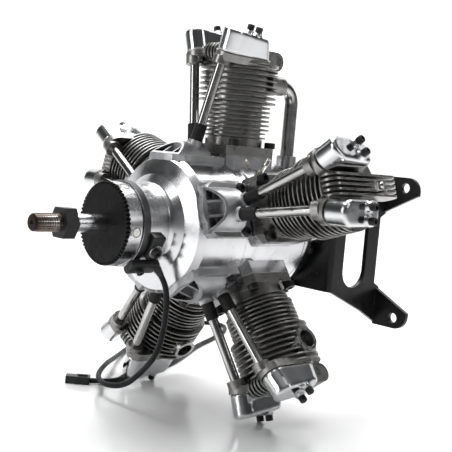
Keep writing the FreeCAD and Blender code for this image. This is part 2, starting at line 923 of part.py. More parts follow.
def tappet_housing():
    """Grey housing on the front case: flange, arched vault with a ribbed pocket, two bosses."""
    body = new_body("tappet_housing")
    half = size("housing_half_width")
    shoulder = size("housing_shoulder")
    depth = size("housing_front") - shoulder
    front_radius = (half * half + depth * depth) / (depth * 2)
    plan = new_sketch(body, "flange_outline", "XY_Plane", (0, 0, size("housing_seat")))
    draw_path(plan, [
        ((-half, -shoulder), ((0, front_radius - size("housing_front")), 1)),
        ((half, -shoulder), None),
        ((half, -size("housing_rear")), None),
        ((-half, -size("housing_rear")), None),
    ])
    extruded(body, "flange", plan, size("flange_top") - size("housing_seat"))
    arch = new_sketch(body, "vault_outline", "XZ_Plane", (0, 0, size("vault_rear")))
    vault_path(arch, size("vault_half_width"), size("vault_top"), size("housing_seat"))
    extruded(body, "vault", arch, size("vault_front") - size("vault_rear"))
    for side, name in SIDES:
        bored_along_tube(body, f"{name}_boss", side, size("boss_radius"), -size("boss_depth"),
                         -size("boot_length"), cut_away=False)
    slope = new_sketch(body, "front_slope_outline", "YZ_Plane")
    draw_outline(slope, [
        (-size("vault_front"), size("flange_top")),
        (-size("vault_apex"), size("vault_top") + 0.2),
        (-size("vault_apex"), size("vault_top") + 5.0),
        (-size("vault_front") - 5.0, size("vault_top") + 5.0),
        (-size("vault_front") - 5.0, size("flange_top")),
    ])
    extruded(body, "front_slope", slope, half * 2, cut=True, both=True)
    shell = size("vault_shell")
    inner = new_sketch(body, "pocket_outline", "XZ_Plane", (0, 0, size("pocket_rear")))
    vault_path(inner, size("vault_half_width") - shell, size("vault_top") - shell, size("pocket_floor"))
    extruded(body, "pocket", inner, size("vault_front") - size("pocket_rear") - shell,
             cut=True, reverse=True)
    for side in (1, -1):
        rib = new_sketch(body, f"rib_outline_{side + 1}", "YZ_Plane",
                         (0, 0, (size("rib_offset") * side) - size("rib_thickness") / 2))
        draw_outline(rib, [
            (-size("vault_front") + shell / 2, size("pocket_floor") - 0.5),
            (-size("pocket_rear") + 0.5, size("pocket_floor") - 0.5),
            (-size("pocket_rear") + 0.5, size("vault_top") - shell * 1.8),
            (-size("vault_front") + shell / 2, size("flange_top") - 0.3),
        ])
        extruded(body, f"rib_{side + 1}", rib, size("rib_thickness"))
    for side, name in SIDES:
        bored_along_tube(body, f"{name}_bore", side, size("tappet_radius") + size("running_clearance"),
                         -size("tappet_reach"), size("boss_radius"))
    case_screw_holes(body, size("flange_top"), size("flange_top") - size("housing_seat") + 1.0)
    oil = new_sketch(body, "oil_hole_outline", "XY_Plane", (0, 0, size("flange_top")))
    draw_circle(oil, (0, -size("pocket_screw_station")), size("oil_hole_radius"))
    extruded(body, "oil_hole", oil, size("case_screw_depth"), cut=True)
    return body


def crankcase_main():
    body = new_body("crankcase_main")
    joint = size("joint_front")
    spigot = size("chamber_radius") - size("seat_gap")
    bearing_rear = size("rear_bearing_front") - size("rear_bearing_length")
    spun(body, "main_casting", [
        (-size("bulkhead_front"), size("rear_bearing_radius")),
        (-size("bulkhead_front"), spigot),
        (-joint, spigot),
        (-joint, size("waist_radius")),
        (-size("waist_rear"), size("waist_radius")),
        (-size("waist_rear") + size("waist_slope"), size("case_radius")),
        (size("joint_rear"), size("case_radius")),
        (size("joint_rear"), size("chamber_radius")),
        (-size("bulkhead_rear"), size("chamber_radius")),
        (-size("bulkhead_rear"), size("web_neck") + 0.6),
        (-bearing_rear, size("web_neck") + 0.6),
        (-bearing_rear, size("rear_bearing_radius")),
    ])
    seat = new_sketch(body, "seat_outline", "XY_Plane", (0, 0, size("seat_root")))
    x, y, c = size("seat_half_across"), size("seat_half_along"), size("seat_corner")
    draw_outline(seat, chamfered_square(x, y, c))
    pad = extruded(body, "cylinder_seat", seat, size("seat_height") - size("seat_root"))
    well = new_sketch(body, "well_outline", "XY_Plane", (0, 0, size("seat_height")))
    draw_circle(well, (0, 0), size("spigot_radius") + size("running_clearance"))
    bore = extruded(body, "cylinder_well", well, size("seat_height") - size("well_floor"), cut=True)
    threads = new_sketch(body, "foot_thread_outline", "XY_Plane", (0, 0, size("seat_height")))
    for point in foot_screw_points():
        draw_circle(threads, point, size("foot_screw_radius"))
    taps = extruded(body, "foot_threads", threads,
                    size("foot_screw_length") - size("foot_thickness"), cut=True)
    turned_copies(body, "five_seats", [pad, bore, taps])
    turn = new_sketch(body, "rear_thread_outline", "XZ_Plane", (0, 0, -size("joint_rear")))
    draw_circle(turn, rear_screw_point(), size("small_screw_radius"))
    thread = extruded(body, "rear_thread", turn, size("rear_thread_depth"), cut=True, reverse=True)
    turned_copies(body, "rear_threads", [thread])
    pin = new_sketch(body, "idler_seat_outline", "XZ_Plane", (0, 0, size("bulkhead_front")))
    draw_circle(pin, (0, -gear_distance()), size("idler_pin_radius"))
    extruded(body, "idler_seat", pin, size("idler_seat_depth"), cut=True)
    nipple = nipple_points()
    body.Tip = round_bar("nipple_hole", nipple[0], nipple[1], size("nipple_radius"), body, cut=True)
    return place(body)


def chamfered_square(x, y, c):
    return [(-x + c, -y), (x - c, -y), (x, -y + c), (x, y - c),
            (x - c, y), (-x + c, y), (-x, y - c), (-x, -y + c)]


def foot_screw_points():
    x, y = size("foot_screw_across"), size("foot_screw_along")
    return [(x, y), (x, -y), (-x, y), (-x, -y)]


def rear_screw_point():
    half_step = 180 / size("cylinder_count")
    return (sine(half_step) * size("cover_screw_circle"), cosine(half_step) * size("cover_screw_circle"))


def gear_distance():
    return size("gear_module") * (size("crank_teeth") + size("idler_teeth")) / 2


def rear_cover():
    body = new_body("rear_cover")
    spigot = size("chamber_radius") - size("seat_gap")
    inside = spigot - size("cover_wall")
    floor = size("dome_rear") - size("cover_wall")
    spun(body, "dome", [
        (size("joint_rear") - size("cover_spigot"), inside),
        (size("joint_rear") - size("cover_spigot"), spigot),
        (size("joint_rear"), spigot),
        (size("joint_rear"), size("case_radius")),
        (size("dome_edge"), size("case_radius")),
        (size("dome_mid"), size("dome_mid_radius")),
        (size("dome_rear"), size("dome_rear_radius")),
        (size("dome_rear"), size("inlet_radius")),
        (floor, size("inlet_radius")),
        (floor, size("dome_rear_radius") - size("cover_wall")),
        (size("dome_mid") - size("cover_wall"), inside),
    ])
    edge, rim = SIZES["dome_edge"] - EDGE_LIMIT, SIZES["dome_mid_radius"] - 1.0
    rounded(body, "dome_rounding", body.Tip, size("dome_rounding_radius"),
            lambda p: p.y > edge and math.hypot(p.x, p.z) > rim)
    x, y = size("port_boss_across"), size("port_boss_station")
    boss_plan = new_sketch(body, "port_boss_outline", "XY_Plane", (0, 0, size("port_boss_root")))
    draw_circle(boss_plan, (x, y), size("port_boss_radius"))
    boss = extruded(body, "port_boss", boss_plan, size("port_boss_height") - size("port_boss_root"))
    seat_plan = new_sketch(body, "port_seat_outline", "XY_Plane", (0, 0, size("port_boss_height")))
    draw_circle(seat_plan, (x, y), size("pipe_radius"))
    seat = extruded(body, "port_seat", seat_plan, size("pipe_plug"), cut=True)
    passage_plan = new_sketch(body, "passage_outline", "XY_Plane", (0, 0, size("port_boss_height")))
    draw_circle(passage_plan, (x, y), size("pipe_radius") - size("pipe_wall"))
    passage = extruded(body, "passage", passage_plan, size("passage_depth"), cut=True)
    screw_face = new_sketch(body, "spot_face_outline", "XZ_Plane", (0, 0, -size("dome_rear")))
    draw_circle(screw_face, rear_screw_point(), size("small_head_radius") + 0.4)
    face = extruded(body, "spot_face", screw_face, size("dome_rear") - size("rear_head_seat"),
                    cut=True, reverse=True)
    through = new_sketch(body, "rear_hole_outline", "XZ_Plane", (0, 0, -size("dome_rear")))
    draw_circle(through, rear_screw_point(), size("small_screw_radius"))
    hole = extruded(body, "rear_hole", through, size("dome_rear") - size("joint_rear") + 1.0,
                    cut=True, reverse=True)
    turned_copies(body, "five_ports", [boss, seat, passage, face, hole])
    panel = new_sketch(body, "panel_thread_outline", "XZ_Plane", (0, 0, -size("dome_rear")))
    for point in panel_screw_points():
        draw_circle(panel, point, size("small_screw_radius"))
    extruded(body, "panel_threads", panel, size("cover_wall") - 1.0, cut=True, reverse=True)
    return place(body)


def panel_screw_points():
    across = size("panel_screw_across")
    return [(across * side, height) for side in (1, -1)
            for height in (size("panel_screw_high"), -size("panel_screw_low"))]


# Crankshaft, gears, cam ring and bearings

def crankshaft():
    body = new_body("crankshaft_forging")
    tip, depth = size("shaft_tip"), size("centre_hole_depth")
    thread, chamfer = size("thread_radius"), size("thread_chamfer")
    journal = size("journal_radius")
    spun(body, "shaft", [
        (-tip + depth, 0),
        (-tip, size("centre_hole_radius")),
        (-tip, thread - chamfer),
        (-tip + chamfer, thread),
        (-size("thread_rear"), thread),
        (-size("thread_rear"), size("shaft_radius")),
        (-size("washer_rear"), size("shaft_radius")),
        (-size("washer_rear"), journal),
        (-size("cam_journal_front"), journal),
        (-size("cam_journal_front"), size("cam_journal_radius")),
        (-size("cam_journal_rear"), size("cam_journal_radius")),
        (-size("cam_journal_rear"), journal),
        (-size("crank_gear_rear"), journal),
        (-size("crank_gear_rear"), size("rear_journal_radius")),
        (-size("rear_bearing_front") + size("rear_bearing_length") + 0.5, size("rear_journal_radius")),
        (-size("rear_bearing_front") + size("rear_bearing_length") + 0.5, size("web_neck")),
        (-size("web_front"), size("web_neck")),
        (-size("web_front"), size("web_radius")),
        (-size("web_rear"), size("web_radius")),
        (-size("web_rear"), 0),
    ])
    for side in (1, -1):
        waist = new_sketch(body, f"web_waist_outline_{side + 1}", "XZ_Plane",
                           (0, 0, size("web_rear") - 1.0))
        draw_outline(waist, [
            (size("web_waist") * side, -1.0), (size("web_waist") * side, size("web_radius") + 1.0),
            (size("web_radius") * side, size("web_radius") + 1.0), (size("web_radius") * side, -1.0)])
        extruded(body, f"web_waist_{side + 1}", waist, size("web_front") - size("web_rear") + 2.0,
                 cut=True, reverse=True)
    teeth = gear_blank("crank_gear", "crank_teeth", "crank_gear_front", "crank_gear_rear")
    return place(fused("crankshaft", [body, teeth]))


def involute_flank(base_radius, start_radius, end_radius, half_angle, steps=4):
    """Points on one flank of a tooth, from its root out to its tip."""
    points = []
    for i in range(steps + 1):
        radius = start_radius + (end_radius - start_radius) * i / steps
        roll = math.sqrt(max((radius / base_radius) ** 2 - 1.0, 0.0))
        angle = half_angle - (roll - math.atan(roll))
        points.append(Vector(radius * math.sin(angle), 0, radius * math.cos(angle)))
    return points


def gear_face(teeth, addendum, dedendum, slack):
    """The face of a gear with involute flanks, in the plane across the crankshaft."""
    pitch = SIZES["gear_module"] * teeth / 2
    pressure = math.radians(SIZES["pressure_angle"])
    base = pitch * math.cos(pressure)
    root_radius, tip = pitch - dedendum, pitch + addendum
    start = max(base, root_radius)
    half = math.pi / (2 * teeth) - slack / (2 * pitch) + math.tan(pressure) - pressure
    flank = involute_flank(base, start, tip, half)
    step = 2 * math.pi / teeth
    edges = []
    for i in range(teeth):
        turn = Rotation(ALONG, math.degrees(step * i))
        left = [turn.multVec(Vector(-p.x, 0, p.z)) for p in flank]
        right = [turn.multVec(p) for p in reversed(flank)]
        top = turn.multVec(Vector(0, 0, tip))
        next_turn = Rotation(ALONG, math.degrees(step * (i + 0.5)))
        valley = next_turn.multVec(Vector(0, 0, root_radius))
        first_point = Vector(-flank[0].x, 0, flank[0].z)
        following = Rotation(ALONG, math.degrees(step * (i + 1))).multVec(first_point)
        for side in (left, right):
            curve = Part.BSplineCurve()
            curve.interpolate(side)
            edges.append(curve.toShape())
            if side is left:
                edges.append(Part.Arc(left[-1], top, right[0]).toShape())
        edges.append(Part.Arc(right[-1], valley, following).toShape())
    return Part.Face(Part.Wire(edges))


def gear_blank(name, teeth, front, rear, addendum=1.0, dedendum=1.25, slack=1.0, turn=0.0):
    """A gear of its own width, its tooth space opened by the backlash."""
    profile = doc.addObject("Part::Feature", f"{name}_profile")
    module = SIZES["gear_module"]
    profile.Shape = gear_face(int(SIZES[teeth]), module * addendum, module * dedendum,
                              SIZES["gear_backlash"] * slack)
    profile.Placement = Placement(Vector(0, -SIZES[front], 0), Rotation(ALONG, turn))
    profile.setExpression("Placement.Base.y", f"-sizes.{front}")
    gear = doc.addObject("Part::Extrusion", f"{name}_teeth")
    gear.Base = profile
    gear.DirMode = "Custom"
    gear.Dir = ALONG
    gear.Solid = True
    bind(gear, "LengthFwd", size(front) - size(rear))
    return gear


def idler_gear():
    wheel = gear_blank("idler_wheel", "idler_teeth", "crank_gear_front", "crank_gear_rear",
                       turn=180.0 / SIZES["idler_teeth"])
    pinion = gear_blank("idler_pinion", "idler_small_teeth", "cam_gear_front", "cam_gear_rear")
    front, rear = -size("cam_gear_front"), -size("crank_gear_rear")
    hub = round_bar("idler_hub", (0, -size("cam_gear_rear") - 0.5, 0),
                    (0, -size("crank_gear_front") + 0.5, 0), size("idler_hub_radius"))
    bore = round_bar("idler_bore", (0, front - 1.0, 0), (0, rear + 1.0, 0),
                     size("idler_pin_radius") + size("running_clearance"))
    gear = cut("idler_solid", fused("idler_blank", [wheel, pinion, hub]), bore)
    lowered = raised(gear, "idler_gear_set", -gear_distance())
    return place(group("idler_gear", [lowered]))


def cam_ring():
    body = new_body("cam_blank")
    front, rear = size("cam_disc_front"), size("cam_rear")
    spun(body, "ring", [(-front, 0), (-front, size("cam_base_radius")),
                        (-rear, size("cam_base_radius")), (-rear, 0)])
    for track, turn in (("intake_track", 0.0), ("exhaust_track", 45.0)):
        half = size("cam_track_width") / 2
        for opposite in (0.0, 180.0):
            lobe = body.newObject("PartDesign::AdditiveCylinder", f"{track}_lobe_{int(opposite)}")
            bind(lobe, "Radius", size("cam_lobe_curve"))
            bind(lobe, "Height", half * 2)
            reach = SIZES["cam_lobe_radius"] - SIZES["cam_lobe_curve"]
            spin = Rotation(ALONG, turn + opposite)
            start = spin.multVec(Vector(0, 0, reach)) - Vector(0, SIZES[track] + number(half), 0)
            lobe.Placement = Placement(start, Rotation(OUTWARD, ALONG))
    spun(body, "relief", [(-size("cam_gear_rear"), 0), (-size("cam_gear_rear"), size("cam_relief_radius")),
                          (-rear, size("cam_relief_radius")), (-rear, 0)], cut=True)
    hub = size("cam_journal_radius") + size("running_clearance")
    spun(body, "hub_bore", [(-front, 0), (-front, hub), (-size("cam_disc_rear"), hub),
                            (-size("cam_disc_rear"), 0)], cut=True)
    teeth = gear_blank("cam_gear", "cam_teeth", "cam_disc_rear", "cam_gear_rear",
                       addendum=1.25, dedendum=1.0, slack=-1.0)
    return place(cut("cam_ring", body, teeth))


def bearing(name, front, length, outer, inner):
    """A sealed ball bearing with a groove between its races on both faces."""
    body = new_body(name)
    race, groove = size("race_width"), size("bearing_groove")
    bore = inner + size("running_clearance")
    rear = front + length
    spun(body, f"{name}_races", [
        (front, bore), (front, bore + race), (front + groove, bore + race),
        (front + groove, outer - race), (front, outer - race), (front, outer),
        (rear, outer), (rear, outer - race), (rear - groove, outer - race),
        (rear - groove, bore + race), (rear, bore + race), (rear, bore)])
    return body


def shaft_bearings():
    front = bearing("front_bearing", -size("front_bearing_front"), size("front_bearing_length"),
                    size("front_bearing_radius"), size("journal_radius"))
    rear = bearing("rear_bearing", -size("rear_bearing_front"), size("rear_bearing_length"),
                   size("rear_bearing_radius"), size("rear_journal_radius"))
    return place(group("shaft_bearings", [front, rear]))


def idler_pin():
    drop = -gear_distance()
    pin = round_bar("idler_pin_bar", (0, -size("cam_gear_front"), drop),
                    (0, -size("bulkhead_front") + size("idler_seat_depth"), drop), size("idler_pin_radius"))
    return place(group("idler_pin", [pin]))


def drive_washer():
    body = new_body("drive_washer")
    front, rear, radius = size("washer_front"), size("washer_rear"), size("washer_radius")
    step = size("washer_rim_step")
    spun(body, "washer_disc", [
        (-front, size("shaft_radius")), (-front, radius - step), (-front + step, radius),
        (-rear, radius), (-rear, size("shaft_radius"))])
    notch_plan = new_sketch(body, "serration_outline", "XZ_Plane", (0, 0, front))
    half = size("serration_width") / 2
    draw_outline(notch_plan, [(-half, size("serration_inner")), (half, size("serration_inner")),
                              (half, radius + 1.0), (-half, radius + 1.0)])
    notch = extruded(body, "serration", notch_plan, size("serration_depth"), cut=True)
    pattern = turned_copies(body, "serrations", [notch])
    bind(pattern, "Occurrences", int(SIZES["serration_count"]))
    pattern.setExpression("Occurrences", "sizes.serration_count")
    low, high = magnet_points()
    pocket = round_bar("magnet_pocket", low, (high[0] * 1.1, high[1], high[2] * 1.1),
                       size("magnet_radius"), body, cut=True)
    turned_copies(body, "magnet_pockets", [pocket])
    return place(body)


def magnet_points():
    turn = size("magnet_clock")
    outer = size("washer_radius") - size("seat_gap")
    station = -size("magnet_station")
    return [(sine(turn) * r, station, cosine(turn) * r) for r in (outer - size("magnet_depth"), outer)]


def trigger_magnets():
    low, high = magnet_points()
    return round_the_case("trigger_magnets", [round_bar("magnet", low, high, size("magnet_radius"))])


def prop_nut():
    body = new_body("prop_nut")
    sketch = new_sketch(body, "hexagon_outline", "XZ_Plane", (0, 0, size("nut_front")))
    corner = size("nut_across_flats") / root(Size(3.0, "3"))
    draw_outline(sketch, [(sine(60 * i + 30) * corner, cosine(60 * i + 30) * corner) for i in range(6)])
    draw_circle(sketch, (0, 0), size("thread_radius"))
    extruded(body, "hexagon", sketch, size("nut_length"), reverse=True)
    chamfer = size("nut_chamfer")
    spun(body, "nut_crown", [(-size("nut_front") - 1.0, corner - chamfer - 1.0),
                             (-size("nut_front") + chamfer, corner + 1.0),
                             (-size("nut_front") - 1.0, corner + 1.0)], cut=True)
    return place(body)


# Cylinders with their heads, rocker boxes and valve seats

def box_point(side, across, along, height):
    """A point of a tilted rocker box, in the frame of the cylinder; across grows outwards."""
    tilt = size("box_tilt")
    x = size("box_across") + sine(tilt) * height + cosine(tilt) * across
    z = size("box_height") + cosine(tilt) * height - sine(tilt) * across
    return (x * side, along, z)


def box_sketch(body, name, side, height):
    tilt = Rotation(ALONG, side * SIZES["box_tilt"])
    return new_sketch(body, name, "XY_Plane", box_point(side, 0, 0.0, height), tilt)


def box_plan(sketch, half, front_centre, rear, corner):
    """Round at the front, with two rounded corners at the rear."""
    draw_path(sketch, [
        ((half, -front_centre), None),
        ((half, rear - corner), ((half - corner, rear - corner), 1)),
        ((half - corner, rear), None),
        ((-half + corner, rear), ((-half + corner, rear - corner), 1)),
        ((-half, rear - corner), None),
        ((-half, -front_centre), ((0, -front_centre), 1)),
    ])


def fin_row(body, name, radius, core, first, count, pitch):
    """A row of cooling fins that thin towards their edges."""
    foot, edge = size("fin_root") / 2, size("fin_tip") / 2
    inner = core - 0.5
    fin = spun(body, f"{name}_fin", [(inner, first - foot), (radius, first - edge),
                                     (radius, first + edge), (inner, first + foot)], axis="V_Axis")
    row_of_copies(body, f"{name}_fins", [fin], "Z_Axis", count, pitch)


def cylinder():
    body = new_body("cylinder")
    skirt, core, head = size("skirt_radius"), size("core_radius"), size("head_core_radius")
    spun(body, "barrel", [
        (0, size("chamber_roof")),
        (size("bore_radius"), size("chamber_roof")),
        (size("bore_radius"), size("spigot_inner")),
        (size("spigot_radius"), size("spigot_inner")),
        (size("spigot_radius"), size("seat_height")),
        (skirt, size("seat_height")),
        (skirt, size("skirt_top")),
        (core, size("skirt_top")),
        (core, size("head_core_bottom")),
        (head, size("head_core_bottom")),
        (head, size("head_core_top")),
        (0, size("head_core_top")),
    ], axis="V_Axis")
    foot = new_sketch(body, "foot_outline", "XY_Plane", (0, 0, size("seat_height")))
    draw_outline(foot, chamfered_square(
        size("seat_half_across"), size("seat_half_along"), size("seat_corner")))
    draw_circle(foot, (0, 0), size("spigot_radius") - 1.0)
    extruded(body, "foot", foot, size("foot_thickness"))
    fin_row(body, "lower", size("lower_fin_radius"), core, size("lower_fin_first"),
            size("lower_fin_count"), size("barrel_fin_pitch"))
    fin_row(body, "barrel", size("barrel_fin_radius"), core, size("barrel_fin_first"),
            size("barrel_fin_count"), size("barrel_fin_pitch"))
    fin_row(body, "head", size("head_fin_radius"), head, size("head_fin_first"),
            size("head_fin_count"), size("head_fin_pitch"))
    head_ridges(body)
    for side, name in SIDES:
        rocker_box(body, side, name)
    ports(body)
    plug_well(body)
    holes = new_sketch(body, "foot_hole_outline", "XY_Plane", (0, 0, size("seat_height")))
    for point in foot_screw_points():
        draw_circle(holes, point, size("foot_screw_radius"))
    extruded(body, "foot_holes", holes, size("foot_thickness") + 1.0, cut=True, reverse=True)
    return body


def head_ridges(body):
    """Upright fore-and-aft fins between the two rocker boxes."""
    rear, end = size("ridge_rear_centre"), size("ridge_end_radius")
    middle = size("ridge_centre_height")
    row = (size("ridge_count") - 1) * size("ridge_pitch") / 2
    plan = new_sketch(body, "ridge_outline", "YZ_Plane", (0, 0, -row - size("ridge_thickness") / 2))
    draw_path(plan, [
        ((-size("ridge_front"), middle + end), ((-size("ridge_front"), middle), 1)),
        ((-size("ridge_front"), middle - end), None),
        ((rear, middle - end), ((rear, middle), 1)),
        ((rear, middle + end), None),
    ])
    ridge = extruded(body, "ridge", plan, size("ridge_thickness"))
    row_of_copies(body, "ridges", [ridge], "X_Axis", size("ridge_count"), size("ridge_pitch"))


def rocker_box(body, side, name):
    bottom, thickness = size("box_bottom"), size("box_thickness")
    plan = box_sketch(body, f"{name}_box_outline", side, bottom)
    box_plan(plan, size("box_half_width"), size("box_front"), size("box_rear"), size("box_corner"))
    extruded(body, f"{name}_box", plan, thickness)
    tube = length_between(tube_end(side, True), tube_end(side, False))
    bored_along_tube(body, f"{name}_tube_boss", side, size("box_boss_radius"),
                     tube, tube + size("box_boss_depth"), cut_away=False)
    top = bottom + thickness
    cavity = box_sketch(body, f"{name}_cavity_outline", side, top)
    box_plan(cavity, size("box_half_width") - size("box_wall"), size("box_front"),
             size("cavity_rear"), size("cavity_corner"))
    extruded(body, f"{name}_cavity", cavity, size("box_cavity_depth"), cut=True)
    floor = top - size("box_cavity_depth")
    posts = box_sketch(body, f"{name}_pedestal_outline", side, floor - 0.2)
    for sign in (1, -1):
        inner, outer = size("pedestal_inner"), size("pedestal_outer")
        low, high = (inner, outer) if sign > 0 else (-outer, -inner)
        draw_outline(posts, [(low, -size("pedestal_front")), (high, -size("pedestal_front")),
                             (high, -size("pedestal_rear")), (low, -size("pedestal_rear"))])
    extruded(body, f"{name}_pedestals", posts, size("pedestal_top") - floor + 0.2)
    taps = box_sketch(body, f"{name}_tap_outline", side, size("pedestal_top"))
    for sign in (1, -1):
        draw_circle(taps, (size("cover_screw_offset") * sign, -size("cover_screw_station")),
                    size("cover_screw_radius"))
    extruded(body, f"{name}_taps", taps, size("cover_thread_depth"), cut=True)
    pivot = (-size("rocker_pivot_station"), size("rocker_pivot_height"))
    half_pin = size("rocker_pin_length") / 2
    round_bar(f"{name}_pin_bore", box_point(side, -half_pin, *pivot), box_point(side, half_pin, *pivot),
              size("rocker_pin_radius"), body, cut=True)
    bored_along_tube(body, f"{name}_pushrod_hole", side, size("pushrod_hole_radius"),
                     tube - 1.0, tube + size("box_boss_depth") + 4.0)
    station = -size("valve_station")
    round_bar(f"{name}_valve_guide", box_point(side, 0, station, -size("valve_pocket_bottom")),
              box_point(side, 0, station, floor + 0.5),
              size("valve_stem_radius") + size("running_clearance"), body, cut=True)
    round_bar(f"{name}_valve_pocket", box_point(side, 0, station, -size("valve_pocket_bottom")),
              box_point(side, 0, station, -size("valve_seat_depth")),
              size("valve_pocket_radius"), body, cut=True)


def ports(body):
    """The exhaust port points sideways and the intake port rearwards."""
    height = size("port_height")
    aft = size("exhaust_station")
    round_bar("exhaust_port", (-size("exhaust_reach"), aft, height), (-size("core_radius"), aft, height),
              size("exhaust_port_radius"), body)
    round_bar("exhaust_bore", (-size("exhaust_reach") - 1.0, aft, height),
              (-size("exhaust_reach") + size("exhaust_depth"), aft, height),
              size("exhaust_bore_radius"), body, cut=True)
    across = size("port_boss_across")
    round_bar("intake_port", (across, size("intake_root"), height), (across, size("intake_reach"), height),
              size("intake_port_radius"), body)
    round_bar("intake_seat", (across, size("intake_reach") - size("pipe_plug"), height),
              (across, size("intake_reach") + 1.0, height), size("pipe_radius"), body, cut=True)


def plug_point(distance):
    """A point on the axis of the leaning spark plug."""
    lean = size("plug_lean")
    return (0, size("plug_foot_station") + sine(lean) * distance,
            size("plug_foot_height") + cosine(lean) * distance)


def plug_well(body):
    round_bar("plug_hole", plug_point(-2.0), plug_point(size("plug_seat")), size("plug_thread_radius"),
              body, cut=True)
    round_bar("plug_well", plug_point(size("plug_seat")), plug_point(size("plug_length") + 6.0),
              size("plug_well_radius"), body, cut=True)


def cylinders():
    master = cylinder()
    for k in CYLINDERS:
        place(group(f"cylinder_{k}", [master]), STEP * (k - 1))


# Rocker covers, valve gear, pushrods and their tubes

def rocker_cover():
    """A chrome cover in the frame of its box: a draughted shell with two screw pads."""
    body = new_body("rocker_cover")
    base, top = size("box_bottom") + size("box_thickness"), size("cover_height")
    half = size("cover_half_width")
    plan = new_sketch(body, "cover_outline", "XY_Plane", (0, 0, base))
    fore, aft = -size("box_front"), size("cover_rear")
    draw_path(plan, [((half, fore), None), ((half, aft), None), ((-half, aft), None),
                     ((-half, fore), ((0, fore), 1))])
    extruded(body, "cover_block", plan, top - base)
    front = size("box_front") + half
    rear_height = top - (front + size("cover_rear_top")) * size("cover_fall")
    profile = new_sketch(body, "cover_side_outline", "YZ_Plane")
    draw_outline(profile, [
        (-front - 2.0, top + size("cover_fall") * 2.0), (size("cover_rear_top"), rear_height),
        (aft, base), (aft + 3.0, base), (aft + 3.0, top + 2.0), (-front - 2.0, top + 2.0)])
    sloped = extruded(body, "cover_slope", profile, half * 2 + 2.0, cut=True, both=True)
    rear_top, side = SIZES["cover_rear_top"] - EDGE_LIMIT, SIZES["cover_half_width"]
    corners = rounded(body, "cover_corners", sloped, size("cover_corner"),
                      lambda p: abs(abs(p.x) - side) < EDGE_LIMIT and p.y > rear_top)
    rounded(body, "cover_edge", corners, size("cover_edge"),
            lambda p: p.z > rear_height.value - EDGE_LIMIT)
    pads = new_sketch(body, "pad_outline", "XY_Plane", (0, 0, size("cover_roof")))
    for sign in (1, -1):
        pad_centre = (size("cover_screw_offset") * sign, -size("cover_screw_station"))
        draw_circle(pads, pad_centre, size("cover_pad_radius"))
    extruded(body, "screw_pads", pads, size("cover_pad_top") - size("cover_roof"))
    cavity = new_sketch(body, "shell_outline", "XY_Plane", (0, 0, base))
    wall = size("cover_wall_inner")
    box_plan(cavity, half - wall, size("box_front"), size("cavity_rear"), size("cavity_corner"))
    extruded(body, "shell", cavity, size("cover_roof") - base, cut=True, reverse=True)
    holes = new_sketch(body, "cover_hole_outline", "XY_Plane", (0, 0, size("cover_pad_top")))
    for sign in (1, -1):
        draw_circle(holes, (size("cover_screw_offset") * sign, -size("cover_screw_station")),
                    size("cover_screw_radius"))
    extruded(body, "cover_holes", holes, top - base, cut=True)
    return body


def on_both_boxes(source, name, across=0.0, along=0.0, height=0.0):
    """A copy of a piece in each of the two tilted box frames of cylinder 1."""
    return [moved(source, f"{name}_{label}", box_frame(side, across, along, height))
            for side, label in SIDES]


def rocker():
    """A rocker arm in the plane of its box, drawn round its pivot."""
    body = new_body("rocker_arm")
    width, end = size("rocker_width"), size("rocker_end_radius")
    push, valve = size("rocker_push_arm"), size("rocker_valve_arm")
    half = size("rocker_thickness") / 2
    for name, place_at, radius in (("hub", 0, size("rocker_hub_radius")), ("push_end", -push, end),
                                   ("valve_end", valve, end)):
        sketch = new_sketch(body, f"{name}_outline", "YZ_Plane")
        draw_circle(sketch, (place_at, 0), radius)
        extruded(body, name, sketch, width, both=True)
        if name == "hub":
            beam = new_sketch(body, "beam_outline", "YZ_Plane")
            draw_outline(beam, [(-push, -half), (valve, -half), (valve, half),
                                (0, half * 2), (-push, half)])
            extruded(body, "beam", beam, width, both=True)
    bore = new_sketch(body, "pivot_outline", "YZ_Plane")
    draw_circle(bore, (0, 0), size("rocker_pin_radius") + size("running_clearance"))
    extruded(body, "pivot", bore, width * 2, cut=True, both=True)
    return body


def valve():
    """A valve with its spring retainer, along the height of the box frame."""
    body = new_body("valve")
    stem, head = size("valve_stem_radius"), size("valve_head_radius")
    seat = -size("valve_seat_depth") - size("running_clearance")
    tip = size("rocker_pivot_height") - size("rocker_end_radius") - size("valve_lash")
    thin = size("valve_head_thickness")
    low, collar = size("retainer_bottom"), size("retainer_thickness")
    spun(body, "valve_outline", [
        (0, seat - thin), (head, seat - thin), (head, seat - thin / 2), (stem, seat),
        (stem, low), (size("retainer_radius"), low), (size("retainer_radius"), low + collar),
        (stem, low + collar), (stem, tip), (0, tip)], axis="V_Axis")
    return body


def valve_gear():
    arm, stem = rocker(), valve()
    for side, label in SIDES:
        arm_at = moved(arm, f"{label}_rocker_set", box_frame(
            side, 0, -SIZES["rocker_pivot_station"], SIZES["rocker_pivot_height"]))
        stem_at = moved(stem, f"{label}_valve_set", box_frame(side, 0, -SIZES["valve_station"], 0))
        for k in CYLINDERS:
            place(group(f"{label}_rocker_{k}", [arm_at]), STEP * (k - 1))
            place(group(f"{label}_valve_{k}", [stem_at]), STEP * (k - 1))


def rocker_pins():
    half = size("rocker_pin_length") / 2
    pin = round_bar("rocker_pin", (-half, 0, 0), (half, 0, 0), size("rocker_pin_radius"))
    pins = on_both_boxes(pin, "rocker_pin", 0, -SIZES["rocker_pivot_station"], SIZES["rocker_pivot_height"])
    round_the_case("rocker_pins", pins)


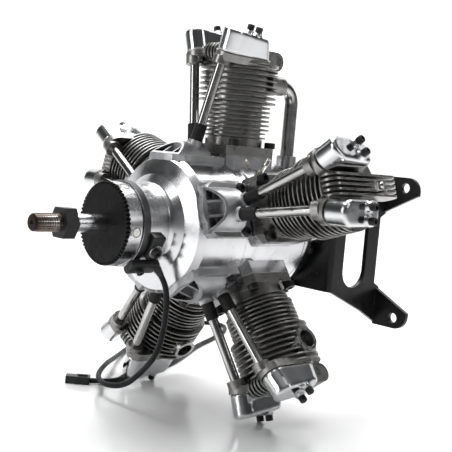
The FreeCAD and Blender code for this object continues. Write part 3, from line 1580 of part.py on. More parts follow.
def valve_springs():
    """Each spring is shown closed up, with the length that it has under an open valve."""
    body = new_body("valve_spring")
    floor = size("box_bottom") + size("box_thickness") - size("box_cavity_depth")
    outer, wire = size("spring_radius"), size("spring_wire")
    ceiling = floor + size("spring_length")
    spun(body, "spring_sleeve", [(outer - wire, floor), (outer, floor), (outer, ceiling),
                                 (outer - wire, ceiling)], axis="V_Axis")
    round_the_case("valve_springs", on_both_boxes(body, "valve_spring", 0, -SIZES["valve_station"], 0))


def pushrod_set():
    """Pushrods with their tappets, tubes and boots, on the axes of the ten tubes."""
    rods, tubes, boots = [], [], []
    wall = size("tube_wall")
    grip = size("boot_grip")
    for side, name in SIDES:
        run = length_between(tube_end(side, True), tube_end(side, False))
        foot = -size("tappet_reach") + 1.0
        shoulder = foot + size("tappet_length")
        tappet = round_bar(f"{name}_tappet", along_tube(side, foot), along_tube(side, shoulder),
                           size("tappet_radius"))
        rod = round_bar(f"{name}_rod", along_tube(side, shoulder - 0.5),
                        along_tube(side, run + size("pushrod_reach")), size("pushrod_radius"))
        rods.append(fused(f"{name}_pushrod", [tappet, rod]))
        outside = round_bar(f"{name}_tube_outside", along_tube(side, -grip), along_tube(side, run),
                            size("tube_radius"))
        inside = round_bar(f"{name}_tube_inside", along_tube(side, -grip - 1.0),
                           along_tube(side, run + 1.0), size("tube_radius") - wall)
        tubes.append(cut(f"{name}_tube", outside, inside))
        sleeve = round_bar(f"{name}_boot_outside", along_tube(side, -size("boot_length")),
                           along_tube(side, 0.0), size("boot_radius"))
        socket = round_bar(f"{name}_boot_socket", along_tube(side, -grip), along_tube(side, 1.0),
                           size("tube_radius"))
        throat = round_bar(f"{name}_boot_throat", along_tube(side, -size("boot_length") - 1.0),
                           along_tube(side, 1.0), size("tube_radius") - wall)
        boots.append(cut(f"{name}_boot", cut(f"{name}_boot_sleeve", sleeve, socket), throat))
    round_the_case("pushrods", rods)
    round_the_case("pushrod_tubes", tubes)
    round_the_case("tube_boots", boots)


# Pistons and rods, held at one point of the stroke

def wrist_height(k):
    """The height of a wrist pin with the crankpin towards cylinder 1."""
    if k == 1:
        return size("crank_throw") + size("rod_length")
    turn = turn_of(k)
    link = size("rod_length") - size("knuckle_circle")
    side = sine(turn) * size("crank_throw")
    return cosine(turn) * size("crank_throw") + size("knuckle_circle") + root(link * link - side * side)


def piston():
    body = new_body("piston")
    outer = size("bore_radius") - size("piston_clearance")
    inner, crown = outer - size("piston_wall"), size("crown_height")
    spun(body, "piston_shell", [
        (0, crown - size("crown_thickness")), (inner, crown - size("crown_thickness")),
        (inner, -size("piston_skirt")), (outer, -size("piston_skirt")), (outer, crown), (0, crown)],
        plane="XZ_Plane", axis="V_Axis")
    root_radius, outside = outer - size("ring_groove_depth"), outer + 1.0
    for number_of_groove in (0, 1):
        top = crown - size("ring_groove_first") - size("ring_groove_pitch") * number_of_groove
        low = top - size("ring_groove_width")
        spun(body, f"ring_groove_{number_of_groove}", [
            (root_radius, top), (outside, top), (outside, low), (root_radius, low)],
            cut=True, plane="XZ_Plane", axis="V_Axis")
    gap, reach = size("pin_boss_gap"), inner + 0.5
    for sign in (1, -1):
        round_bar(f"pin_boss_{sign + 1}", (0, gap * sign, 0), (0, reach * sign, 0),
                  size("pin_boss_radius"), body)
    bore = new_sketch(body, "pin_bore_outline", "XZ_Plane")
    draw_circle(bore, (0, 0), size("wrist_pin_radius"))
    extruded(body, "pin_bore", bore, outer * 2 + 2.0, cut=True, both=True)
    return body


def pistons():
    master = piston()
    copies = []
    for k in CYLINDERS:
        at_height = raised(master, f"piston_at_height_{k}", wrist_height(k))
        copies.append(moved(at_height, f"piston_{k}", Placement(Vector(), Rotation(ALONG, STEP * (k - 1)))))
    place(group("pistons", copies))


def rod_blank(name, length, foot_radius):
    """A rod with an eye at its top, its foot at the origin."""
    body = new_body(name)
    thickness, half = size("rod_thickness"), size("rod_width") / 2
    beam = new_sketch(body, f"{name}_beam_outline", "XZ_Plane")
    draw_outline(beam, [(-half, 0), (half, 0), (half * 0.8, length), (half * -0.8, length)])
    extruded(body, f"{name}_beam", beam, thickness, both=True)
    for label, height, radius in (("foot", 0, foot_radius), ("head", length, size("rod_eye_radius"))):
        eye = new_sketch(body, f"{name}_{label}_outline", "XZ_Plane")
        draw_circle(eye, (0, height), radius)
        extruded(body, f"{name}_{label}", eye, thickness, both=True)
    return body


def rod_hole(body, name, height, radius):
    hole = new_sketch(body, f"{name}_outline", "XZ_Plane")
    draw_circle(hole, (0, height), radius)
    extruded(body, name, hole, size("rod_thickness") * 6, cut=True, both=True)


def knuckle_points():
    """Where the four link rods join the big end, in the frame of its crankpin."""
    circle = size("knuckle_circle")
    return {k: (sine(STEP * (k - 1)) * circle, cosine(STEP * (k - 1)) * circle)
            for k in CYLINDERS if k > 1}


def master_rod():
    body = rod_blank("master_rod_blank", size("rod_length"), size("big_end_hub"))
    gap, flange = size("big_end_gap") / 2, size("big_end_flange")
    for sign in (1, -1):
        start = gap if sign > 0 else -gap - flange
        cheek = new_sketch(body, f"cheek_outline_{sign + 1}", "XZ_Plane", (0, 0, start))
        draw_circle(cheek, (0, 0), size("big_end_radius"))
        extruded(body, f"cheek_{sign + 1}", cheek, flange)
    hub = new_sketch(body, "hub_ring_outline", "XZ_Plane")
    draw_circle(hub, (0, 0), size("big_end_hub"))
    extruded(body, "hub_ring", hub, gap * 2 + flange, both=True)
    pins = new_sketch(body, "knuckle_hole_outline", "XZ_Plane")
    for point in knuckle_points().values():
        draw_circle(pins, point, size("knuckle_pin_radius"))
    extruded(body, "knuckle_holes", pins, gap * 6, cut=True, both=True)
    rod_hole(body, "crankpin_bore", 0, size("crankpin_radius") + size("running_clearance"))
    rod_hole(body, "wrist_bore", size("rod_length"), size("wrist_pin_radius"))
    place(group("master_rod", [raised(body, "master_rod_set", size("crank_throw"))]))


def link_rods():
    body = rod_blank("link_rod_blank", size("rod_length") - size("knuckle_circle"),
                     size("knuckle_eye_radius"))
    rod_hole(body, "link_foot_bore", 0, size("knuckle_pin_radius"))
    rod_hole(body, "link_wrist_bore", size("rod_length") - size("knuckle_circle"), size("wrist_pin_radius"))
    copies = []
    throw, link = SIZES["crank_throw"], SIZES["rod_length"] - SIZES["knuckle_circle"]
    for k, (x, z) in knuckle_points().items():
        turn = math.radians(STEP * (k - 1))
        lean = math.degrees(math.asin(throw * math.sin(turn) / link))
        foot = Vector(number(x), 0, number(z) + throw)
        copies.append(moved(body, f"link_rod_{k}", Placement(foot, Rotation(ALONG, STEP * (k - 1) + lean))))
    place(group("link_rods", copies))


def rod_pins():
    """The crankpin, the four knuckle pins and the five wrist pins."""
    pins = [round_bar("crankpin", (0, -size("crankpin_front"), size("crank_throw")),
                      (0, size("crankpin_rear"), size("crank_throw")), size("crankpin_radius"))]
    half = size("big_end_gap") / 2 + size("big_end_flange")
    for k, (x, z) in knuckle_points().items():
        height = z + size("crank_throw")
        pins.append(round_bar(f"knuckle_pin_{k}", (x, -half, height), (x, half, height),
                              size("knuckle_pin_radius")))
    reach = size("wrist_pin_length") / 2
    wrist = round_bar("wrist_pin", (0, -reach, 0), (0, reach, 0), size("wrist_pin_radius"))
    for k in CYLINDERS:
        at_height = raised(wrist, f"wrist_at_height_{k}", wrist_height(k))
        pins.append(turned(at_height, f"wrist_pin_{k}", STEP * (k - 1)))
    place(group("rod_pins", pins))


# Spark plugs, intake pipes, screws and small fittings

def spark_plug():
    body = new_body("spark_plug_turned")
    seat, hexagon = size("plug_seat"), size("plug_hex_height")
    spun(body, "plug_shell", [
        (0, 1.0), (size("plug_thread_radius"), 1.0), (size("plug_thread_radius"), seat),
        (size("plug_body_radius"), seat), (size("plug_body_radius"), seat + hexagon + 5.0),
        (size("plug_body_radius") - 0.6, seat + hexagon + 5.6),
        (size("plug_body_radius") - 0.6, size("plug_length") - 3.0),
        (1.4, size("plug_length") - 2.4), (1.4, size("plug_length")), (0, size("plug_length"))],
        axis="V_Axis")
    nut = new_sketch(body, "plug_hex_outline", "XY_Plane", (0, 0, seat))
    corner = size("plug_hex") / root(Size(3.0, "3"))
    draw_outline(nut, [(sine(60 * i) * corner, cosine(60 * i) * corner) for i in range(6)])
    extruded(body, "plug_hexagon", nut, hexagon)
    leaning = moved(body, "leaning_plug", Placement(
        vector(plug_point(0.0)), Rotation(ACROSS, -SIZES["plug_lean"])))
    round_the_case("spark_plugs", [leaning])


def intake_pipe():
    body = new_body("intake_pipe")
    across, height = size("port_boss_across"), size("port_height")
    start = (size("intake_reach") - size("pipe_plug"), height)
    corner = (size("port_boss_station"), height)
    end = (size("port_boss_station"), size("port_boss_height") - size("pipe_plug"))
    bend = size("pipe_bend_radius")
    spine = new_sketch(body, "pipe_spine", "YZ_Plane", (0, 0, across))
    level = (corner[0] - bend, height)
    drop = (corner[0], height - bend)
    lines = [(start, level), (drop, end)]
    first = spine.addGeometry(Part.LineSegment(vector((*lines[0][0], 0)), vector((*lines[0][1], 0))))
    arc = spine.addGeometry(Part.ArcOfCircle(
        Part.Circle(vector((level[0], drop[1], 0)), OUTWARD, bend.value), 0, math.pi / 2))
    last = spine.addGeometry(Part.LineSegment(vector((*lines[1][0], 0)), vector((*lines[1][1], 0))))
    spine.addConstraint(Sketcher.Constraint("Tangent", first, 2, arc, 2))
    spine.addConstraint(Sketcher.Constraint("Tangent", arc, 1, last, 1))
    radius = spine.addConstraint(Sketcher.Constraint("Radius", arc, bend.value))
    spine.setExpression(f"Constraints[{radius}]", bend.text)
    fix(spine, first, 1, start)
    fix(spine, last, 2, end)
    for name, ring_radius, kind in (("pipe_wall", size("pipe_radius"), "AdditivePipe"),
                                    ("pipe_bore", size("pipe_radius") - size("pipe_wall"), "SubtractivePipe")):
        ring = new_sketch(body, f"{name}_ring", "XZ_Plane", (0, 0, -start[0]))
        draw_circle(ring, (across, height), ring_radius)
        pipe = body.newObject(f"PartDesign::{kind}", name)
        pipe.Profile = ring
        pipe.Spine = (spine, ["Edge1", "Edge2", "Edge3"])
        ring.Visibility = False
    round_the_case("intake_pipes", [body])


def socket_screw(name, head_radius, head_height, radius, length):
    """A socket screw that stands on its head's seat at the origin, its shank below."""
    body = new_body(name)
    edge = 0.4
    spun(body, f"{name}_turned", [
        (0, -length), (radius, -length), (radius, 0), (head_radius, 0),
        (head_radius, head_height - edge), (head_radius - edge, head_height), (0, head_height)],
        axis="V_Axis")
    socket = new_sketch(body, f"{name}_socket_outline", "XY_Plane", (0, 0, head_height))
    corner = head_radius * 0.58
    draw_outline(socket, [(sine(60 * i) * corner, cosine(60 * i) * corner) for i in range(6)])
    extruded(body, f"{name}_socket", socket, head_height * 0.55, cut=True)
    return body


def screws():
    small = socket_screw("small_screw", size("small_head_radius"), size("small_head_height"),
                         size("small_screw_radius"), size("small_screw_length"))
    foot = socket_screw("foot_screw", size("foot_head_radius"), size("foot_head_height"),
                        size("foot_screw_radius"), size("foot_screw_length"))
    top = socket_screw("top_screw", size("cover_head_radius"), size("cover_head_height"),
                       size("cover_screw_radius"), size("cover_screw_length"))
    seat = SIZES["seat_height"] + SIZES["foot_thickness"]
    on_case = [moved(foot, f"foot_screw_{i}", Placement(Vector(number(x), number(y), seat), Rotation()))
               for i, (x, y) in enumerate(foot_screw_points(), start=1)]
    for i, (x, y) in enumerate(housing_screw_points(), start=1):
        inner = i in (1, 3)
        floor = SIZES["pocket_floor"] if inner else SIZES["flange_top"]
        on_case.append(moved(small, f"housing_screw_{i}",
                             Placement(Vector(number(x), number(y), floor), Rotation())))
    around = group("case_screw_set", on_case)
    copies = [turned(around, f"case_screws_{k}", STEP * (k - 1)) for k in CYLINDERS]
    facing_rear = Rotation(OUTWARD, ALONG)
    x, z = rear_screw_point()
    at_first = Vector(number(x), SIZES["rear_head_seat"], number(z))
    first = moved(small, "rear_screw", Placement(at_first, facing_rear))
    copies += [turned(first, f"rear_screw_{k}", STEP * (k - 1)) for k in CYLINDERS]
    panel_rear = SIZES["mount_panel_front"] + SIZES["mount_thickness"]
    for i, (x, z) in enumerate(panel_screw_points(), start=1):
        copies.append(moved(small, f"panel_screw_{i}",
                            Placement(Vector(number(x), panel_rear, number(z)), facing_rear)))
    turn = Rotation(ALONG, SIZES["bracket_clock"])
    at = vector(sensor_point(0, -size("bracket_screw_station"), size("bracket_top"), "bracket_clock"))
    copies.append(moved(small, "bracket_screw", Placement(at, turn)))
    place(group("crankcase_screws", copies))
    pads = [moved(top, f"top_screw_{sign + 1}", Placement(
        Vector(sign * SIZES["cover_screw_offset"], -SIZES["cover_screw_station"], SIZES["cover_pad_top"]),
        Rotation())) for sign in (1, -1)]
    round_the_case("cover_screws", on_both_boxes(group("top_screw_pair", pads), "top_screws"))


def nipple_points():
    turn = size("nipple_clock")
    low = size("case_radius") - size("nipple_depth")
    return [(sine(turn) * r, size("nipple_station"), cosine(turn) * r)
            for r in (low, size("case_radius") + 0.5, size("nipple_height"))]


def breather_nipple():
    body = new_body("nipple_turned")
    stem, low = size("nipple_radius"), size("case_radius") - size("nipple_depth")
    flat, top = size("case_radius") + 0.3, size("nipple_height")
    spun(body, "nipple_stem", [
        (0.7, low), (stem, low), (stem, flat), (2.7, flat), (2.7, flat + 2.2), (1.4, flat + 3.2),
        (1.4, top - 4.0), (1.9, top - 4.0), (1.4, top - 1.8), (1.9, top - 1.8), (1.2, top), (0.7, top)],
        axis="V_Axis")
    standing = moved(body, "nipple_set", Placement(
        Vector(0, SIZES["nipple_station"], 0), Rotation()))
    place(group("breather_nipple", [standing]), SIZES["nipple_clock"])


# Ignition sensor with its lead, engine mount and carburettor

def sensor():
    turn = SIZES["sensor_clock"]
    case = new_body("sensor_case")
    plan = new_sketch(case, "sensor_plan", "XY_Plane", (0, 0, size("sensor_inner")))
    half, corner = size("sensor_half_width"), 1.5
    front, rear = -size("sensor_front"), -size("sensor_rear")
    draw_outline(plan, [(-half, front + corner), (-half + corner, front), (half - corner, front),
                        (half, front + corner), (half, rear - corner), (half - corner, rear),
                        (-half + corner, rear), (-half, rear - corner)])
    body = extruded(case, "sensor_bar", plan, size("sensor_outer") - size("sensor_inner"))
    rounded(case, "sensor_edge", body, Size(1.2, "1.2"), lambda p: p.z > SIZES["sensor_outer"] - 0.01)
    turned_case = turned(case, "sensor_case_turned", turn)
    exit_point, first_corner = Vector(*LEAD_ROUTE[0]), Vector(*LEAD_ROUTE[1])
    gland_start = exit_point - (first_corner - exit_point).normalize() * SIZES["gland_length"]
    gland = round_bar("lead_gland", tuple(gland_start), tuple(exit_point), size("gland_radius"))
    place(fused("sensor_body", [turned_case, gland]))
    block_body = new_body("bracket_block")
    plan = new_sketch(block_body, "bracket_plan", "XY_Plane", (0, 0, size("bracket_root")))
    low, high = -size("bracket_front"), -size("bracket_rear")
    near, far = size("bracket_near"), size("bracket_far")
    draw_outline(plan, [(-near + corner, low), (far, low), (far, high), (-near + corner, high),
                        (-near, high - corner), (-near, low + corner)])
    extruded(block_body, "bracket_pad", plan, size("bracket_top") - size("bracket_root"))
    round_bar("bracket_seat", (0, -size("washer_front"), 0), (0, -size("flare_rear"), 0),
              size("nose_radius"), block_body, cut=True)
    screw = round_bar("bracket_hole", (0, -size("bracket_screw_station"), size("bracket_root")),
                      (0, -size("bracket_screw_station"), size("bracket_top") + 1.0),
                      size("small_screw_radius"), block_body, cut=True)
    block_body.Tip = screw
    bracket = turned(block_body, "bracket_turned", SIZES["bracket_clock"])
    place(cut("sensor_bracket", bracket, turned(case, "sensor_place", turn)))


def lead_path(points):
    """Straight runs joined by tangent arcs, with the radius of each arc."""
    edges, radii = [], []
    run_start = points[0]
    for before, corner, after in zip(points, points[1:], points[2:]):
        inwards, outwards = corner - before, after - corner
        turn = inwards.getAngle(outwards)
        share = BEND_SHARE * min(inwards.Length, outwards.Length)
        radius = share / math.tan(turn / 2)
        inwards.normalize()
        outwards.normalize()
        arc_start, arc_end = corner - inwards * share, corner + outwards * share
        to_centre = (outwards - inwards).normalize()
        middle = corner + to_centre * (radius / math.cos(turn / 2) - radius)
        edges.append(Part.LineSegment(run_start, arc_start).toShape())
        edges.append(Part.Arc(arc_start, middle, arc_end).toShape())
        radii.append(radius)
        run_start = arc_end
    edges.append(Part.LineSegment(run_start, points[-1]).toShape())
    return Part.Wire(edges), radii


def sensor_cord():
    points = [Vector(*point) for point in LEAD_ROUTE]
    wire, radii = lead_path(points)
    path = doc.addObject("Part::Feature", "lead_path")
    path.Shape = wire
    section = doc.addObject("Part::Circle", "lead_section")
    bind(section, "Radius", size("lead_radius"))
    section.Placement = Placement(points[0], Rotation(OUTWARD, points[1] - points[0]))
    sweep = doc.addObject("Part::Sweep", "sensor_cord")
    sweep.Sections = [section]
    sweep.Spine = path
    sweep.Solid = True
    place(sweep)
    print("lead radii", " ".join(f"{radius:.1f}" for radius in radii))
    print("lead length", round(wire.Length, 1))
    print("lead volume by length", round(math.pi * SIZES["lead_radius"] ** 2 * wire.Length, 1))


def sensor_plug():
    """A flat three-way connector on the end of the lead, lying on the floor."""
    body = new_body("connector_shell")
    low = -size("connector_below_lead")
    plan = new_sketch(body, "connector_plan", "XY_Plane", (0, 0, low))
    shoulder, front = size("connector_shoulder"), size("connector_length")
    half, nose = size("connector_half_width"), size("connector_nose_half_width")
    draw_outline(plan, [(0, -half), (shoulder, -half), (shoulder, -nose), (front, -nose),
                        (front, nose), (shoulder, nose), (shoulder, half), (0, half)])
    extruded(body, "connector_block", plan, size("connector_height"))
    rib = new_sketch(body, "connector_rib_outline", "XY_Plane",
                     (0, 0, low + size("connector_height") - 0.2))
    rib_half, rib_front = size("connector_rib_half_width"), size("connector_rib_front")
    draw_outline(rib, [(1.5, -rib_half), (rib_front, -rib_half), (rib_front, rib_half), (1.5, rib_half)])
    extruded(body, "connector_rib", rib, size("connector_rib_height") + 0.2)
    sockets = new_sketch(body, "connector_socket_outline", "YZ_Plane", (0, 0, front))
    side = size("connector_socket_side") / 2
    middle = low + size("connector_height") / 2
    for place_in_row in (-1, 0, 1):
        centre = size("connector_socket_pitch") * place_in_row
        draw_outline(sockets, [(centre - side, middle - side), (centre + side, middle - side),
                               (centre + side, middle + side), (centre - side, middle + side)])
    extruded(body, "connector_sockets", sockets, size("connector_socket_depth"), cut=True)
    end, before = Vector(*LEAD_ROUTE[-1]), Vector(*LEAD_ROUTE[-2])
    heading = math.degrees(math.atan2(end.y - before.y, end.x - before.x))
    laid = moved(body, "connector_laid", Placement(end, Rotation(OUTWARD, heading)))
    place(group("sensor_plug", [laid]))


def engine_mount():
    """A bent steel bracket: hat section in plan, waisted slotted walls and four ears."""
    body = new_body("engine_mount")
    t, half = size("mount_thickness"), size("mount_half_width")
    front, rear = size("mount_panel_front"), size("plane_to_firewall")
    middle = -size("mount_drop")
    tall = size("mount_wall_half_height")
    hat = new_sketch(body, "hat_outline", "XY_Plane", (0, 0, middle - tall))
    draw_outline(hat, [(-half, front), (half, front), (half, rear), (half - t, rear),
                       (half - t, front + t), (-half + t, front + t), (-half + t, rear), (-half, rear)])
    extruded(body, "hat", hat, tall * 2)
    for sign in (1, -1):
        side = new_sketch(body, f"wall_outline_{sign + 1}", "YZ_Plane")
        low, waist = size("mount_panel_half_height"), size("mount_waist_half_height")
        draw_outline(side, [
            (front - 2.0, middle + low * sign), (front + t, middle + low * sign),
            (size("mount_waist_station"), middle + waist * sign), (rear + 1.0, middle + tall * sign),
            (rear + 1.0, middle + (tall + 2.0) * sign), (front - 2.0, middle + (tall + 2.0) * sign)])
        extruded(body, f"wall_trim_{sign + 1}", side, half * 2 + 2.0, cut=True, both=True)
    notch = new_sketch(body, "strut_outline", "YZ_Plane")
    strut, ear = size("mount_strut_half_height"), size("mount_ear_root_high")
    draw_outline(notch, [(size("mount_strut_rear"), middle - strut), (rear + 1.0, middle - ear),
                         (rear + 1.0, middle + ear), (size("mount_strut_rear"), middle + strut)])
    extruded(body, "strut_notch", notch, half * 2 + 2.0, cut=True, both=True)
    slot = new_sketch(body, "slot_outline", "YZ_Plane")
    wide = size("mount_slot_half_width")
    reach = size("mount_slot_half_length") - wide
    centre = size("mount_slot_centre")
    draw_stadium(slot, (centre, middle - reach), (centre, middle + reach), wide)
    extruded(body, "wall_slots", slot, half * 2 + 2.0, cut=True, both=True)
    for x_sign in (1, -1):
        for z_sign in (1, -1):
            mount_ear(body, x_sign, z_sign, middle)
    opening = new_sketch(body, "carburettor_hole_outline", "XZ_Plane", (0, 0, -front))
    draw_circle(opening, (0, 0), size("mount_hole_radius"))
    for point in panel_screw_points():
        draw_circle(opening, point, size("small_screw_radius"))
    extruded(body, "carburettor_hole", opening, t + 1.0, cut=True)
    bolts = new_sketch(body, "bolt_hole_outline", "XZ_Plane", (0, 0, -rear))
    for x_sign in (1, -1):
        for z_sign in (1, -1):
            draw_circle(bolts, (size("mount_bolt_half_across") * x_sign,
                                middle + size("mount_bolt_half_height") * z_sign), size("mount_bolt_radius"))
    extruded(body, "bolt_holes", bolts, t + 1.0, cut=True, reverse=True)
    outside = SIZES["mount_half_width"]
    panel = SIZES["mount_panel_front"]
    rounded(body, "panel_bends", body.Tip, size("mount_bend_radius"),
            lambda p: abs(abs(p.x) - outside) < 0.01 and abs(p.y - panel) < 0.01)
    return place(body)


def mount_ear(body, x_sign, z_sign, middle):
    """One ear with a rounded outer corner, bent outwards from the wall."""
    root_x = size("mount_half_width") - 0.5
    bolt_x = size("mount_bolt_half_across")
    radius = size("mount_ear_radius")
    top = size("mount_wall_half_height")
    tip = bolt_x + size("mount_ear_tip")
    low = top - radius
    points = [(root_x, size("mount_ear_root_high")), (tip, low - size("mount_ear_edge")), (tip, low),
              (tip - radius, top), (root_x, top)]
    plan = new_sketch(body, f"ear_outline_{x_sign + 1}{z_sign + 1}", "XZ_Plane",
                      (0, 0, -size("plane_to_firewall")))
    corners = [((x * x_sign, middle + z * z_sign), None) for x, z in points]
    arc_turn = x_sign * z_sign
    centre = ((tip - radius) * x_sign, middle + low * z_sign)
    corners[2] = (corners[2][0], (centre, arc_turn))
    draw_path(plan, corners)
    extruded(body, f"ear_{x_sign + 1}{z_sign + 1}", plan, size("mount_thickness"))


def carburettor():
    body = new_body("carburettor")
    front, rear = size("carb_front"), size("carb_rear")
    half, tall = size("carb_half_width"), size("carb_half_height")
    panel = size("mount_panel_front")
    plan = new_sketch(body, "carb_plan", "XY_Plane", (0, 0, -tall))
    edge = size("carb_edge")
    draw_outline(plan, [(-half, front), (half, front), (half, rear - edge), (half - edge, rear),
                        (-half + edge, rear), (-half, rear - edge)])
    extruded(body, "carb_block", plan, tall * 2)
    round_bar("carb_neck", (0, panel, 0), (0, front + 1.0, 0), size("carb_neck_radius"), body)
    bore = size("carb_bore_radius")
    mouth = rear + size("trumpet_length")
    round_bar("carb_trumpet", (0, rear - 1.0, 0), (0, mouth, 0), bore + size("trumpet_wall"), body)
    round_bar("carb_bore", (0, panel - 1.0, 0), (0, mouth + 1.0, 0), bore, body, cut=True)
    middle = (front + rear) / 2
    well_floor = -size("barrel_depth") - size("seat_gap")
    body.Tip = round_bar("barrel_well", (0, middle, well_floor), (0, middle, tall + 1.0),
                         size("barrel_radius") + size("barrel_clearance"), body, cut=True)
    place(body)
    throttle = new_body("throttle_barrel")
    disc = new_sketch(throttle, "barrel_outline", "XY_Plane", (0, 0, -size("barrel_depth")))
    draw_circle(disc, (0, middle), size("barrel_radius"))
    lift = size("arm_lift")
    extruded(throttle, "barrel", disc, size("barrel_depth") + tall + lift)
    arm = new_sketch(throttle, "arm_outline", "XY_Plane", (0, 0, tall + lift))
    reach, wide = size("arm_length"), size("arm_width") / 2
    draw_path(arm, [((0, middle - wide), None), ((reach, middle - wide), ((reach, middle), 1)),
                    ((reach, middle + wide), None), ((0, middle + wide), None)])
    draw_circle(arm, (reach, middle), size("arm_hole_radius"))
    extruded(throttle, "arm", arm, size("arm_thickness"))
    cap = new_sketch(throttle, "cap_outline", "XY_Plane", (0, 0, tall + lift))
    draw_circle(cap, (0, middle), size("barrel_radius"))
    extruded(throttle, "cap", cap, size("arm_thickness"))
    throttle.Tip = round_bar("barrel_bore", (0, middle - 20.0, 0), (0, middle + 20.0, 0), bore - 0.5,
                             throttle, cut=True)
    place(throttle)


crankcase_front()
crankcase_main()
rear_cover()
round_the_case("tappet_housings", [tappet_housing()])
crankshaft()
idler_gear()
cam_ring()
shaft_bearings()
idler_pin()
drive_washer()
trigger_magnets()
prop_nut()
cylinders()
round_the_case("rocker_covers", on_both_boxes(rocker_cover(), "rocker_cover"))
valve_gear()
rocker_pins()
valve_springs()
pushrod_set()
pistons()
master_rod()
link_rods()
rod_pins()
spark_plug()
intake_pipe()
screws()
breather_nipple()
sensor()
sensor_cord()
sensor_plug()
engine_mount()
carburettor()

doc.recompute()
problems = [item.Label for item in doc.Objects if {"Invalid", "Error"} & set(item.State)]
problems += [item.Label for item in NODES if item.Shape.isNull() or not item.Shape.isValid()]
if problems:
    raise RuntimeError("not built: " + ", ".join(problems))
os.makedirs("parts", exist_ok=True)
for item in NODES:
    item.Shape.exportStep(f"parts/{item.Label}.step")
    print(item.Label, len(item.Shape.Solids), round(item.Shape.Volume, 1))
print("nodes", len(NODES))
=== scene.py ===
import json
import math

import bmesh
import bpy
from mathutils import Matrix, Vector


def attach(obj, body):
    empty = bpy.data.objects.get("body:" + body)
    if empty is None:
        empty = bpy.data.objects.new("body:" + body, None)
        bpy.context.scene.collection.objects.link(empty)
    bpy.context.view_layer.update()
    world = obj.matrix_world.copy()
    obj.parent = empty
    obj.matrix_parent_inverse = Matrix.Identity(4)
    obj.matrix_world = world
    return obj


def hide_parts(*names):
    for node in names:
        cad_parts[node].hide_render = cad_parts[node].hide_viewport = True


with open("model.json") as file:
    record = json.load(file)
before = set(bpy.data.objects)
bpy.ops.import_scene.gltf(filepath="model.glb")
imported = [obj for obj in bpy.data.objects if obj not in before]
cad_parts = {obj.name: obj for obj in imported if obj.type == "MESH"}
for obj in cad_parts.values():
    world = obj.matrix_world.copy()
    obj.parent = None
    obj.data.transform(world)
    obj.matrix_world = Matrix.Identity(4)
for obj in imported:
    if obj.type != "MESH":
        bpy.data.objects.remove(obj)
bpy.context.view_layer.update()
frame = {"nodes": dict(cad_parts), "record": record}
NODES = frame["nodes"]
MM = 0.001
# The crankshaft's axis and the plane of the cylinders, in the row frame
CENTRE = Vector((0.0, -0.1, 0.0105))
FLOOR = CENTRE.z - 0.11552
CYLINDERS = range(1, 6)
BACKWARD = Vector((0, 1, 0))


def turn_of(k):
    """The angle of cylinder k round the crankshaft, from cylinder 1 at the top."""
    return math.radians(72 * (k - 1))


def at(k, across, station, outward):
    """A point given in millimetres in the frame of a cylinder."""
    turn = turn_of(k)
    x = across * math.cos(turn) + outward * math.sin(turn)
    z = outward * math.cos(turn) - across * math.sin(turn)
    return CENTRE + Vector((x, station, z)) * MM


def link(obj):
    bpy.context.scene.collection.objects.link(obj)
    return obj


# Camera, fitted to the screws, covers and pipes of the photograph

AZIMUTH, ELEVATION, ROLL = (math.radians(angle) for angle in (46.63, 4.55, 4.97))
DISTANCE = 0.5795
FOCAL_PIXELS = 889.0
# How far the middle of the picture lies from the cylinders' centre
SHIFT_LEFT, SHIFT_DOWN = 0.0001, 0.0008
IMAGE_SIDE = 452
SENSOR = 36.0


def photo_camera():
    """Places the camera, and returns its level direction to the right and the way to it."""
    away = Vector((math.sin(AZIMUTH) * math.cos(ELEVATION),
                   -math.cos(AZIMUTH) * math.cos(ELEVATION), math.sin(ELEVATION)))
    level = Vector((math.cos(AZIMUTH), math.sin(AZIMUTH), 0.0))
    upright = away.cross(level)
    right = level * math.cos(ROLL) + upright * math.sin(ROLL)
    up = upright * math.cos(ROLL) - level * math.sin(ROLL)
    place = CENTRE + away * DISTANCE - level * SHIFT_LEFT - upright * SHIFT_DOWN
    data = bpy.data.cameras.new("photo_camera")
    data.sensor_width = SENSOR
    data.lens = FOCAL_PIXELS / IMAGE_SIDE * SENSOR
    data.clip_start = 0.01
    camera = link(bpy.data.objects.new("photo_camera", data))
    matrix = Matrix((right, up, away)).transposed().to_4x4()
    matrix.translation = place
    camera.matrix_world = matrix
    bpy.context.scene.camera = camera
    return level, away


LEVEL, AWAY = photo_camera()
BEHIND = Vector((-AWAY.x, -AWAY.y, 0)).normalized()

# The sensor's lead: its route from the crankshaft's axis and the plane of the cylinders

LEAD_ROUTE = [
    (0.0204, -0.0703, -0.0256), (0.0214, -0.0653, -0.0323), (0.0217, -0.0632, -0.0425),
    (0.0212, -0.0626, -0.0530), (0.0189, -0.0623, -0.0660), (0.0132, -0.0616, -0.0790),
    (0.0005, -0.0610, -0.0915), (-0.0135, -0.0620, -0.1036), (-0.0300, -0.0660, -0.1066),
    (-0.0500, -0.0580, -0.1062), (-0.0725, -0.0350, -0.1059), (-0.0985, -0.0085, -0.1103),
    (-0.1260, 0.0210, -0.1137), (-0.1525, 0.0555, -0.1137), (-0.1760, 0.0960, -0.1137),
    (-0.1950, 0.1330, -0.1137), (-0.1970, 0.1610, -0.1137), (-0.1800, 0.1760, -0.1137),
    (-0.1600, 0.1630, -0.1137), (-0.1382, 0.1295, -0.1137), (-0.1185, 0.0900, -0.1137),
    (-0.0950, 0.0560, -0.1137), (-0.0785, 0.0290, -0.1137), (-0.0715, 0.0100, -0.1137),
    (-0.0695, -0.0080, -0.1137), (-0.0655, -0.0225, -0.1137), (-0.0575, -0.0335, -0.1137),
    (-0.0570, -0.0450, -0.1134), (-0.0638, -0.0532, -0.1134),
]
LEAD_RADIUS = 0.00175


